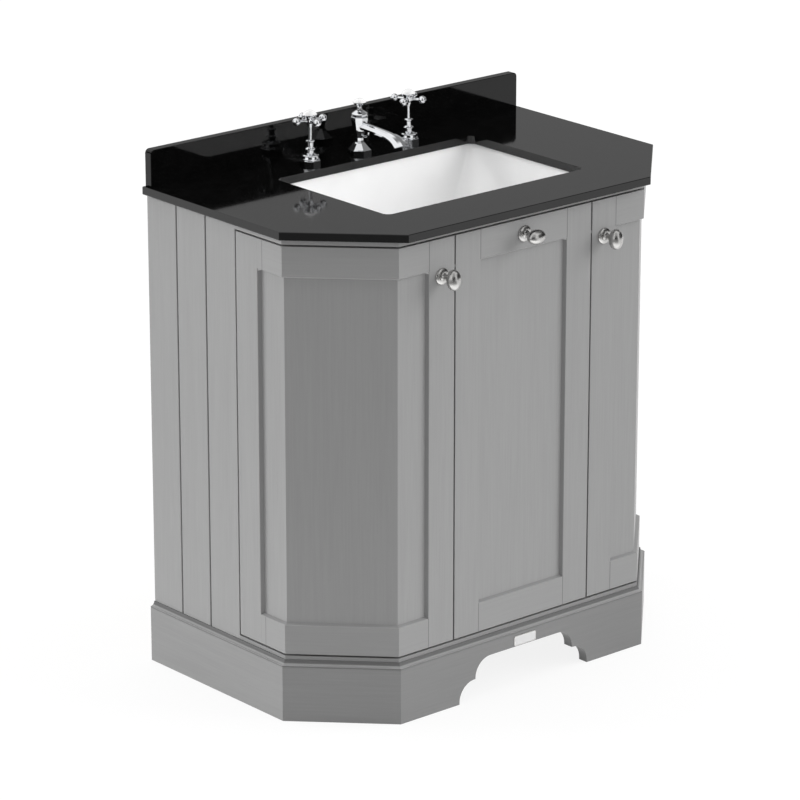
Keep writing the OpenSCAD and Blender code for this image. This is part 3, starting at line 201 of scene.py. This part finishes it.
# ---------------------------------------------------------------- painted timber
PAINT = 0.335             # lightness of the grey paint
FINE_GRAIN, BROAD_GRAIN = (330, 9), (60, 2.2)     # noise scales across the grain and along it
FINE_DETAIL, FINE_ROUGH, FINE_SHARE = 4, 0.62, 0.72
GRAIN_LOW, GRAIN_HIGH = 0.965, 1.03     # paint in the grain and on it, against the open paint
GRAIN_TONES = (0.36, 0.64)              # streak values from one paint to the other
RAIL_GRAIN = (0.5, 0.25)  # the rails' streaks are weaker: scale, shift
FINE_DEPTH = 0.0002       # height of the finest relief
SOFT = 0.0004             # half the width of the edge of a band
JOINT_SHADE, JOINT_LINE = 0.55, (0.0003, 0.0010)    # fine line where a rail meets a stile
RECESS_PAINTED_SHADE, RECESS_EDGE = 0.76, (0.0004, 0.0016)  # painted shade in the recesses, by depth
BEVEL_PAINTED_HIGHLIGHT, BEVEL_HIGHLIGHT_SHARE, BEVEL_OVER = 2.15, 0.8, 0.0010    # painted highlight on the top rails' foot bevel: lightness, share, reach above
# Where the moulding's paint is darker: painted shade in the cove, then a dark joint line at its
# foot: low, high, lightness
COVE_SHADE_AND_JOINT_BANDS = [(0.0942, 0.0996, 0.45), (0.0899, 0.0913, 0.60)]
GROOVES, GROOVE_LINE = (0.10125, 0.17325), (0.0008, 0.0016)     # in the side panels, y
# Painted shade along the grooves, on the outer faces only: x beyond which it shows, lightness
GROOVE_FLOOR, GROOVE_PAINTED_SHADE = 0.370, 0.24


def grain(scales, lying):
    """Noise scales in x, y and z for grain that runs level, or upright."""
    across, lengthwise = scales
    return (lengthwise, lengthwise, across) if lying else (across, across, lengthwise)


def painted(name, level=PAINT, door=None, lying=False, bands=(), grooves=()):
    """Satin paint over open grain: fine streaks up the boards, and along the rails of a door.

    lying: the board lies flat, with its grain along it. door: which door frame; it also gets
    painted shade in its recesses and a painted highlight on its top rail's foot bevel.
    bands: heights where the paint is darker, as in the moulding's bands of painted shade in the
    cove and a dark joint line. grooves: where a side panel's grooves lie along its depth; painted
    shade darkens them.
    """
    f = Finish(name, grey(level), 0.42, ior=1.42)
    fine = f.noise(*grain(FINE_GRAIN, lying), FINE_DETAIL, FINE_ROUGH)
    broad = f.noise(*grain(BROAD_GRAIN, lying), detail=2)
    streak = f.math("ADD", f.math("MULTIPLY", fine, FINE_SHARE),
                    f.math("MULTIPLY", broad, 1 - FINE_SHARE))
    x, y, z = f.xyz()
    top_rail, foot_rail = DOOR_HIGH - RAIL_W, DOOR_LOW + RAIL_W
    if door:
        on_rail = f.math("MAXIMUM", f.math("GREATER_THAN", z, top_rail),
                         f.math("LESS_THAN", z, foot_rail))
        if door == "centre":
            ends = [(f.math("ABSOLUTE", x), CENTRE_HALF - STILE_W)]
        else:
            across = x if door == "left" else f.math("MULTIPLY", x, -1.0)
            ends = [(across, -(CENTRE_HALF + DOOR_GAP + STILE_W)), (y, SIDE_EDGE_Y - STILE_W)]
        inside, joint = 1.0, 0.0
        for value, limit in ends:
            inside = f.math("MULTIPLY", inside, f.math("LESS_THAN", value, limit))
            near = f.math("ABSOLUTE", f.math("SUBTRACT", value, limit))
            joint = f.math("MAXIMUM", joint, f.spread(near, *JOINT_LINE, 1.0, 0.0))
        rail = f.math("MULTIPLY", on_rail, inside)
        joint = f.math("MULTIPLY", joint, on_rail)
        rail_streak = f.noise(*grain(FINE_GRAIN, True), FINE_DETAIL, FINE_ROUGH)
        rail_streak = f.math("ADD", f.math("MULTIPLY", rail_streak, RAIL_GRAIN[0]), RAIL_GRAIN[1])
        streak = f.math("ADD", f.math("MULTIPLY", streak, f.math("SUBTRACT", 1.0, rail)),
                        f.math("MULTIPLY", rail_streak, rail))
    tone = f.spread(streak, *GRAIN_TONES)
    paint = f.mix(tone, grey(level * GRAIN_LOW), grey(level * GRAIN_HIGH))
    if door:
        paint = f.mix(joint, paint, grey(level * JOINT_SHADE))
        # Painted shade in the recesses, found by depth behind the door's outer faces
        off_centre = f.math("ABSOLUTE", x)
        side = f.math("SUBTRACT", SIDE_X, off_centre)
        front = f.math("SUBTRACT", y, FRONT_Y)
        angled = f.math("SUBTRACT", CORNER_OUT,
                        f.math("MULTIPLY", f.math("SUBTRACT", off_centre, y), math.sqrt(0.5)))
        depth = f.math("MINIMUM", f.math("MINIMUM", side, front), angled)
        recess = f.math("MULTIPLY", f.spread(depth, *RECESS_EDGE, smooth=True),
                        f.math("LESS_THAN", depth, RECESS + SOFT))
        # Painted highlight on the top rail's foot bevel, in place of the painted shade there
        high = f.math("MULTIPLY", f.math("GREATER_THAN", z, top_rail - BEVEL_W - 2 * SOFT),
                      f.math("LESS_THAN", z, top_rail + BEVEL_OVER))
        low = f.math("SUBTRACT", 1.0, high)
        paint = f.mix(f.math("MULTIPLY", recess, low), paint, grey(level * RECESS_PAINTED_SHADE))
        paint = f.mix(f.math("MULTIPLY", f.math("MULTIPLY", recess, high), BEVEL_HIGHLIGHT_SHARE),
                      paint, grey(level * BEVEL_PAINTED_HIGHLIGHT))
    # Darker bands by height: painted shade in the moulding's cove, and its dark joint line
    for low_z, high_z, shade in bands:
        inside = f.math("MULTIPLY", f.spread(z, low_z - SOFT, low_z + SOFT),
                        f.spread(z, high_z - SOFT, high_z + SOFT, 1.0, 0.0))
        paint = f.mix(inside, paint, grey(level * shade))
    # Painted shade along the side panels' grooves
    for centre in grooves:
        near = f.math("ABSOLUTE", f.math("SUBTRACT", y, centre))
        inside = f.math("MULTIPLY", f.spread(near, *GROOVE_LINE, 1.0, 0.0),
                        f.math("GREATER_THAN", f.math("ABSOLUTE", x), GROOVE_FLOOR))
        paint = f.mix(inside, paint, grey(level * GROOVE_PAINTED_SHADE))
    f.colour(paint)
    f.roughness(f.spread(streak, 0.3, 0.7, 0.50, 0.36))
    f.bump(streak, 0.18, FINE_DEPTH)
    return f.material


def inner_timber(name, upright=True):
    """Pale birch veneer on the parts inside: long figure, fine pores, dull lacquer."""
    f = Finish(name, (0.55, 0.42, 0.28), 0.5, ior=1.45)
    long_figure, long_pores = (26, 26, 1.6), (420, 420, 12)
    if not upright:
        long_figure, long_pores = long_figure[::-1], long_pores[::-1]
    figure = f.noise(*long_figure, detail=3, rough=0.5, distortion=0.5)
    pores = f.noise(*long_pores, detail=3, rough=0.7)
    base = f.mix(f.spread(figure, 0.35, 0.68), (0.60, 0.47, 0.32), (0.44, 0.32, 0.20))
    f.colour(f.mix(f.spread(pores, 0.52, 0.75, 0.0, 0.35), base, (0.30, 0.20, 0.12)))
    f.roughness(f.spread(pores, 0.3, 0.7, 0.40, 0.58))
    f.bump(pores, 0.3, FINE_DEPTH)
    return f.material


# ---------------------------------------------------------------- stone, ceramic, metals
def polished_stone(name, ior=1.5):
    """Black granite: small crystals of several greys under a mirror polish."""
    f = Finish(name, grey(0.003), 0.05, ior=ior)
    crystals = f.crystals(620)
    pale = f.spread(crystals[0], 0.80, 1.0, smooth=True)
    cloud = f.noise(38, 38, 38, detail=3)
    base = f.mix(f.spread(cloud, 0.3, 0.7), grey(0.0009), grey(0.0024))
    f.colour(f.mix(f.math("MULTIPLY", pale, 0.6), base, grey(0.008)))
    f.roughness(f.spread(crystals[2], 0.0, 1.0, 0.035, 0.085))
    return f.material


def glazed(name, level):
    """White ware: even glaze, thin and slightly wavy, glossy."""
    f = Finish(name, grey(level), 0.10, coat=0.25, coat_rough=0.03)
    drift = f.noise(14, 14, 14, detail=2)
    f.colour(f.mix(f.spread(drift, 0.35, 0.65), grey(level * 0.975), grey(level)))
    f.roughness(f.spread(f.noise(90, 90, 90), 0.3, 0.7, 0.07, 0.14))
    f.bump(f.noise(45, 45, 45, detail=1), 0.10, 0.0004)
    return f.material


def metal(name, colour, rough_low, rough_high, wear, bump=0.0):
    """Metal with a handled surface: soft smears in the gloss and a trace of fine scratches."""
    f = Finish(name, colour, rough_low, metallic=1.0)
    smear = f.noise(55, 55, 55, detail=4)
    scratch = f.noise(300, 300, 300, detail=3, rough=0.7)
    both = f.math("ADD", f.math("MULTIPLY", smear, 0.65), f.math("MULTIPLY", scratch, 0.35))
    f.roughness(f.spread(both, 0.35, 0.65, rough_low, rough_high))
    dull = tuple(c * (1 - wear) for c in colour)
    f.colour(f.mix(f.spread(smear, 0.4, 0.7), colour, dull))
    if bump:
        f.bump(scratch, bump, FINE_DEPTH)
    return f.material


def rubber(name):
    """Black rubber with a dull, slightly uneven skin."""
    f = Finish(name, grey(0.016), 0.65, ior=1.45)
    skin = f.noise(700, 700, 700, detail=2)
    f.colour(f.mix(f.spread(skin, 0.35, 0.65), grey(0.012), grey(0.024)))
    f.roughness(f.spread(skin, 0.3, 0.7, 0.55, 0.75))
    f.bump(skin, 0.3, FINE_DEPTH)
    return f.material


finishes = {
    "painted_wood": painted("grey_paint_boards"),
    "inner_wood": inner_timber("birch_veneer"),
    "black_stone": polished_stone("polished_black_stone"),
    "basin_glaze": glazed("white_glaze_basin", 0.91),
    "cap_glaze": glazed("white_glaze_caps", 0.80),
    "polished_chrome": metal("polished_chrome", (0.83, 0.84, 0.86), 0.03, 0.075, wear=0.03),
    "satin_nickel": metal("satin_nickel", (0.54, 0.535, 0.525), 0.25, 0.30, wear=0.08),
    "zinc_steel": metal("zinc_plated_steel", (0.60, 0.61, 0.63), 0.26, 0.42, wear=0.18,
                        bump=0.15),
    "brass_fittings": metal("turned_brass", (0.72, 0.53, 0.25), 0.20, 0.34, wear=0.15),
    "copper_pipe": metal("copper_tube", (0.76, 0.40, 0.27), 0.22, 0.38, wear=0.22),
    "black_rubber": rubber("black_rubber"),
}
# Pieces with a finish of their own
finish_by_node = {
    "upstand": polished_stone("black_stone_upstand", ior=1.38),
    "left_door_frame": painted("grey_paint_left_frame", door="left"),
    "centre_door_frame": painted("grey_paint_centre_frame", door="centre"),
    "right_door_frame": painted("grey_paint_right_frame", door="right"),
    # The low boards get darker copies of the paint, one level to each face of the plinth: painted
    # shade, as less light reaches them
    "plinth_front": painted("grey_paint_plinth_front", PAINT * 0.71, lying=True),
    "plinth_sides": painted("grey_paint_plinth_sides", PAINT * 0.86, lying=True),
    "plinth_corners": painted("grey_paint_plinth_corners", PAINT * 0.85, lying=True),
    "plinth_moulding": painted("grey_paint_moulding", PAINT * 0.88, lying=True,
                               bands=COVE_SHADE_AND_JOINT_BANDS),
    "base_board": painted("grey_paint_base", PAINT * 0.80, lying=True),
    "top_frame": painted("grey_paint_top_frame", PAINT, lying=True),
    "left_side_panel": painted("grey_paint_left_side", PAINT, grooves=GROOVES),
    "right_side_panel": painted("grey_paint_right_side", PAINT, grooves=GROOVES),
}

lying_wood = inner_timber("birch_veneer_lying", upright=False)
for board in ("shelves", "upper_back_rail", "lower_back_rail", "plinth_back_rail"):
    finish_by_node[board] = lying_wood

for name, obj in nodes.items():
    for slot in obj.material_slots:
        kind = slot.material.name.split(".")[0]
        slot.material = finish_by_node.get(name, finishes[kind])


# ---------------------------------------------------------------- bare plate on the plinth
# Middle, width, height, thickness and corner radius
PLATE = {"x": 0.001, "z": 0.0765, "w": 0.045, "h": 0.017, "t": 0.0010, "r": 0.0025}
CORNER_STEPS = 8


def round_rect(w, h, r):
    """Points round a flat with rounded corners, anticlockwise from its right."""
    points = []
    for cx, cz, start in ((w / 2 - r, h / 2 - r, 0), (-w / 2 + r, h / 2 - r, 90),
                          (-w / 2 + r, -h / 2 + r, 180), (w / 2 - r, -h / 2 + r, 270)):
        for k in range(CORNER_STEPS + 1):
            a = math.radians(start + 90 * k / CORNER_STEPS)
            points.append((cx + r * math.cos(a), cz + r * math.sin(a)))
    return points


def lofted(name, rings, materials, face_slots):
    """Closed mesh through rings of points given from the back to the front."""
    bm = bmesh.new()
    loops = [[bm.verts.new(p) for p in ring] for ring in rings]
    n = len(loops[0])
    back = bm.faces.new(list(reversed(loops[0])))
    back.material_index = face_slots[0]
    for j in range(len(loops) - 1):
        for i in range(n):
            face = bm.faces.new((loops[j][i], loops[j][(i + 1) % n],
                                 loops[j + 1][(i + 1) % n], loops[j + 1][i]))
            face.material_index = face_slots[j]
    front = bm.faces.new(loops[-1])
    front.material_index = face_slots[-1]
    bmesh.ops.recalc_face_normals(bm, faces=bm.faces)
    return add_object(name, bm, materials)


def name_plate():
    """Rounded rim in nickel round a sunk field of enamel, with nothing written on it."""
    p = PLATE
    # Distance out from the plinth, distance in from the edge
    steps = [(0.0, 0.0), (p["t"] * 0.55, 0.0), (p["t"] * 0.9, 0.0003), (p["t"], 0.0007),
             (p["t"], 0.0011), (p["t"] * 0.8, 0.0013), (p["t"] * 0.8, 0.0016)]
    rings = []
    for out, inset in steps:
        flat = round_rect(p["w"] - 2 * inset, p["h"] - 2 * inset, p["r"] - inset * 0.6)
        rings.append([(p["x"] + u, PLINTH_Y - out, p["z"] + v) for u, v in flat])
    plate = lofted("bare_plate", rings, [finishes["satin_nickel"], glazed("plate_enamel", 0.78)],
                   [0] * (len(rings) - 1) + [1])
    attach(plate, "cabinet")


name_plate()


# ---------------------------------------------------------------- hinge screws
HINGE_Z = (0.203, 0.665)
SCREW_R, SCREW_H = 0.0032, 0.0017
# Faces that the screws lie on: the corner plates and cups, and those of the centre door
CORNER_PLATE_X, CORNER_PLATE_Y = 0.34925, 0.0502
CORNER_CUP_X, CORNER_CUP_Y = 0.35480, 0.0042
CENTRE_PLATE_X, CENTRE_PLATE_Y = 0.12900, -0.1628
CENTRE_CUP_X, CENTRE_CUP_Y = 0.1170, -0.18555
PLATE_SPAN, CUP_SPAN = 0.0111, 0.0245   # from a hinge's middle to its screws, up and down
SCREW_SIDES, SCREW_TURN = 32, 0.4       # the turn of the cross in radians
CROSS_WAIST = 0.36        # share of the radius between the arms of the cross


def screw_heads(name, places, body):
    """Pan heads with a cross recess, sunk a hair into the face they hold."""
    n = SCREW_SIDES
    full = [1.0] * n
    cross = [1.0 if k % 8 in (0, 1, 7) else CROSS_WAIST for k in range(n)]
    # Share of the radius, share of the height, outline
    rings = [(1.00, -0.10, full), (1.00, 0.30, full), (0.92, 0.62, full), (0.76, 0.86, full),
             (0.60, 0.96, full), (0.50, 1.00, cross), (0.40, 0.35, cross)]
    bm = bmesh.new()
    for centre, normal in places:
        out = Vector(normal)
        side = Vector((0, 0, 1))
        up = out.cross(side)
        loops = []
        for radius, height, shape in rings:
            loop = []
            for k in range(n):
                a = 2 * math.pi * k / n + SCREW_TURN
                r = SCREW_R * radius * shape[k]
                loop.append(bm.verts.new(Vector(centre) + out * (SCREW_H * height)
                                         + side * (r * math.cos(a)) + up * (r * math.sin(a))))
            loops.append(loop)
        bm.faces.new(list(reversed(loops[0])))
        for a, b in zip(loops, loops[1:]):
            for k in range(n):
                bm.faces.new((a[k], a[(k + 1) % n], b[(k + 1) % n], b[k]))
        bm.faces.new(loops[-1])
    bmesh.ops.recalc_face_normals(bm, faces=bm.faces)
    obj = add_object(name, bm, [finishes["zinc_steel"]])
    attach(obj, body)


plate_screws = []
for z0 in HINGE_Z:
    for dz in (-PLATE_SPAN, PLATE_SPAN):
        plate_screws.append(((-CORNER_PLATE_X, CORNER_PLATE_Y, z0 + dz), (1, 0, 0)))
        plate_screws.append(((CORNER_PLATE_X, CORNER_PLATE_Y, z0 + dz), (-1, 0, 0)))
        plate_screws.append(((CENTRE_PLATE_X, CENTRE_PLATE_Y, z0 + dz), (-1, 0, 0)))
screw_heads("hinge_plate_screws", plate_screws, "cabinet")
for door, point, normal in (("left_door", (-CORNER_CUP_X, CORNER_CUP_Y), (1, 0, 0)),
                            ("right_door", (CORNER_CUP_X, CORNER_CUP_Y), (-1, 0, 0)),
                            ("centre_door", (CENTRE_CUP_X, CENTRE_CUP_Y), (0, 1, 0))):
    screw_heads(door + "_cup_screws",
                [((*point, z0 + dz), normal) for z0 in HINGE_Z for dz in (-CUP_SPAN, CUP_SPAN)],
                door)


# ---------------------------------------------------------------- polished skin of the spout's arm
SPOUT_Y, SPOUT_Z = 0.18225, 0.785      # foot of the spout on the worktop
ARM_REACH, ARM_HIGH, NOZZLE_HIGH = 0.104, 0.045, 0.030
ARM_END_PITCH = -68                    # degrees
# Stations along the arm: shares of the reach and of the drop, half width and half height in mm
ARM = [(0.06, 1, 7.5, 5), (0.2, 0.98, 7.5, 4.6), (0.4, 0.94, 8.3, 4.2), (0.6, 0.87, 9.4, 4),
       (0.78, 0.72, 11.2, 4.2), (0.91, 0.43, 13.2, 4.6), (1, 0, 14.5, 5)]
SKIN, UNDER_SKIN = 0.00035, 0.0010     # how far the skin stands off the arm, above and below
SKIN_START, SKIN_END = 0.25, 5.92      # it stops just short of the arm's last station
SKIN_LIP, SKIN_SUNK = 0.0006, (0.05, 0.02)  # its ends dip into the arm: how deep, how long
SKIN_STEPS = 42
RIDGE = math.radians(14)               # edges sharper than this stay crisp


def arm_at(t):
    """Point, half sizes and pitch at station number t, on a smooth curve through the stations."""
    rows = [[-share * ARM_REACH, NOZZLE_HIGH + drop * (ARM_HIGH - NOZZLE_HIGH),
             w / 1000, h / 1000] for share, drop, w, h in ARM]
    last = len(rows) - 1
    for k in range(last + 1):
        a, b = rows[max(k - 1, 0)], rows[min(k + 1, last)]
        rows[k].append(math.radians(ARM_END_PITCH) if k == last
                       else math.atan2(b[1] - a[1], a[0] - b[0]))
    k = min(int(t), last - 1)
    u = t - k
    p0, p1, p2, p3 = rows[max(k - 1, 0)], rows[k], rows[k + 1], rows[min(k + 2, last)]
    return [0.5 * (2 * b + (c - a) * u + (2 * a - 5 * b + 4 * c - d) * u * u
                   + (3 * b - a - 3 * c + d) * u ** 3) for a, b, c, d in zip(p0, p1, p2, p3)]


def arm_ring(t, out, under):
    """The arm's section at station t, grown by out at its sides and top, and by under below."""
    y, z, w, h, pitch = arm_at(t)
    w, top, low = w + out, h + out, h + under
    section = [(-w, -h * 0.3), (-w * 0.8, -low), (w * 0.8, -low), (w, -h * 0.3),
               (w * 0.62, top * 0.7), (w * 0.22, top), (-w * 0.22, top), (-w * 0.62, top * 0.7)]
    return [(u, SPOUT_Y + y + v * math.sin(pitch), SPOUT_Z + z + v * math.cos(pitch))
            for u, v in section]


def spout_skin():
    """The arm's flats drawn as long smooth bands with crisp ridges between them."""
    rings = [arm_ring(SKIN_START - SKIN_SUNK[0], -SKIN_LIP, -SKIN_LIP)]
    rings += [arm_ring(SKIN_START + (SKIN_END - SKIN_START) * i / SKIN_STEPS, SKIN, UNDER_SKIN)
              for i in range(SKIN_STEPS + 1)]
    rings.append(arm_ring(SKIN_END + SKIN_SUNK[1], -SKIN_LIP, -SKIN_LIP))
    skin = lofted("spout_arm_skin", rings, [finishes["polished_chrome"]], [0] * len(rings))
    bm = bmesh.new()
    bm.from_mesh(skin.data)
    for face in bm.faces:
        face.smooth = True
    for edge in bm.edges:
        edge.smooth = len(edge.link_faces) == 2 and edge.calc_face_angle(0) < RIDGE
    bm.to_mesh(skin.data)
    bm.free()
    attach(skin, "cabinet")


spout_skin()


# ---------------------------------------------------------------- floor, lights, camera
FLOOR_REACH, FLOOR_CELLS = 14.0, 14
FLOOR_SEEN, FLOOR_BOUNCE = 0.95, 0.43   # its lightness to the camera, and to the light
FLOOR_WHITE = 0.86        # how much of the floor the camera sees as plain white
# Painted reflections on the floor, which only the gloss sees: a bright patch before the unit,
# and a dark patch beyond it to the left
FLOOR_REFLECTED_LIGHT, FLOOR_REFLECTED_DARK, REFLECTED_DARK_SIDE = 1.7, 0.12, (-0.80, -0.60, 0.0)
LIT_ENDS = (0.9, 1.6)     # metres from the middle where the bright patch fades and the dark patch begins
LIT_EDGE, REFLECTED_DARK_EDGE = (-0.2, 0.2), (0.45, 0.75)    # cosines from the dark patch's side, none to full
SKY = 0.40                # even light from all round
LAMPS = {                 # direction, strength, angle in degrees
    "left_lamp": ((-0.55, 0.76, 0.17), 2.52, 30),
    "right_lamp": ((0.75, -0.56, 0.35), 2.02, 45),
    "front_lamp": ((-0.60, -0.68, 0.42), 0.34, 50),
    "top_lamp": ((0.05, 0.10, 1.0), 1.62, 60),
}
# Screens that the polished metal and stone mirror: direction, half angle in degrees, lightness
SCREENS = [((0.62, 0.73, 0.28), 27, 0.34), ((0.62, 0.08, 0.78), 27, 0.22),
           ((-0.62, -0.74, 0.20), 26, 0.02), ((0.61, -0.74, 0.26), 26, 0.10),
           ((-0.42, -0.50, 0.75), 24, 0.52),
           ((0.92, -0.22, 0.16), 25, 0.02), ((-0.55, 0.80, 0.15), 14, 0.03)]
SCREEN_EDGE = 4           # degrees of softness either way
LENS, SENSOR, FAR_END = 189.56, 36.0, 60.0  # mm, mm, metres
CAMERA_AT = (-4.1624, -4.76015, 2.5320)
CAMERA_DOWN, CAMERA_TURN = 18.5, -40.67     # degrees


def floor_mesh():
    """A flat grid under the unit."""
    bm = bmesh.new()
    n = FLOOR_CELLS
    for i in range(n + 1):
        for j in range(n + 1):
            bm.verts.new((-FLOOR_REACH + 2 * FLOOR_REACH * i / n,
                          -FLOOR_REACH + 2 * FLOOR_REACH * j / n, 0.0))
    bm.verts.ensure_lookup_table()
    for i in range(n):
        for j in range(n):
            a = i * (n + 1) + j
            bm.faces.new((bm.verts[a], bm.verts[a + n + 1], bm.verts[a + n + 2], bm.verts[a + 1]))
    return bm


def floor():
    """Pale floor: white to the camera, and to the metal but for two painted reflection patches;
    it throws less light back than white.
    """
    material = bpy.data.materials.new("floor_paint")
    t = Tree(material)
    rays = t.node("ShaderNodeLightPath").outputs
    seen = t.seen(rays)
    diffuse = t.node("ShaderNodeBsdfDiffuse")
    t.link(t.mix(seen, grey(FLOOR_BOUNCE), grey(FLOOR_SEEN)), diffuse.inputs["Color"])

    place = t.node("ShaderNodeTexCoord").outputs["Object"]
    away = t.length(place)
    # Painted reflections, for gloss rays only: a dark patch beyond the unit and a bright one
    # before it
    turn = t.math("DIVIDE", t.along(place, REFLECTED_DARK_SIDE), t.math("MAXIMUM", away, 0.01))
    far = t.spread(away, *LIT_ENDS, smooth=True)
    reflected_dark = t.math("MULTIPLY", t.spread(turn, *REFLECTED_DARK_EDGE, smooth=True), far)
    lit = t.math("MULTIPLY", t.spread(turn, *LIT_EDGE, smooth=True),
                 t.math("SUBTRACT", 1.0, far))
    mirrored = t.math("ADD", t.math("MULTIPLY", reflected_dark, FLOOR_REFLECTED_DARK - 1.0),
                      t.math("MULTIPLY", lit, FLOOR_REFLECTED_LIGHT - 1.0))
    white = t.node("ShaderNodeEmission")
    t.link(t.math("ADD", 1.0, t.math("MULTIPLY", mirrored, rays["Is Glossy Ray"])),
           white.inputs["Strength"])
    t.either(t.math("MULTIPLY", seen, FLOOR_WHITE), diffuse.outputs[0], white.outputs[0],
             "ShaderNodeOutputMaterial")
    add_object("floor", floor_mesh(), [material])


def sky():
    """Even studio light; the camera sees a white room, and the gloss sees screens in it."""
    world = bpy.data.worlds.new("studio")
    bpy.context.scene.world = world
    t = Tree(world)
    soft = t.node("ShaderNodeBackground")
    t.put(soft.inputs["Color"], grey(1.0))
    t.put(soft.inputs["Strength"], SKY)
    rays = t.node("ShaderNodeLightPath").outputs
    towards = t.node("ShaderNodeTexCoord").outputs["Generated"]
    colour = grey(1.0)
    for direction, half_angle, level in SCREENS:
        edge = t.spread(t.along(towards, direction),
                        math.cos(math.radians(half_angle + SCREEN_EDGE)),
                        math.cos(math.radians(half_angle - SCREEN_EDGE)), smooth=True)
        shown = t.math("MULTIPLY", edge, t.math("SUBTRACT", 1.0, rays["Is Camera Ray"]))
        colour = t.mix(shown, colour, grey(level))
    room = t.node("ShaderNodeBackground")
    t.put(room.inputs["Color"], colour)
    t.put(room.inputs["Strength"], 1.0)
    t.either(t.seen(rays), soft.outputs[0], room.outputs[0], "ShaderNodeOutputWorld")


def sun(name, direction, strength, angle):
    """Lamp that polished surfaces don't mirror."""
    lamp = bpy.data.lights.new(name, "SUN")
    lamp.energy = strength
    lamp.angle = math.radians(angle)
    obj = bpy.data.objects.new(name, lamp)
    bpy.context.scene.collection.objects.link(obj)
    obj.rotation_euler = Vector(direction).to_track_quat("Z", "Y").to_euler()
    obj.visible_glossy = False


def camera():
    """The photo's view: a long lens, from the left of the front and above the top."""
    data = bpy.data.cameras.new("camera")
    data.sensor_width = SENSOR
    data.lens = LENS
    data.clip_end = FAR_END
    obj = bpy.data.objects.new("camera", data)
    bpy.context.scene.collection.objects.link(obj)
    obj.location = CAMERA_AT
    obj.rotation_euler = Euler((math.radians(90 - CAMERA_DOWN), 0, math.radians(CAMERA_TURN)),
                               "XYZ")
    bpy.context.scene.camera = obj


floor()
sky()
for lamp_name, (towards, strength, spread) in LAMPS.items():
    sun(lamp_name, towards, strength, spread)
camera()
bpy.context.scene.view_settings.view_transform = "Standard"
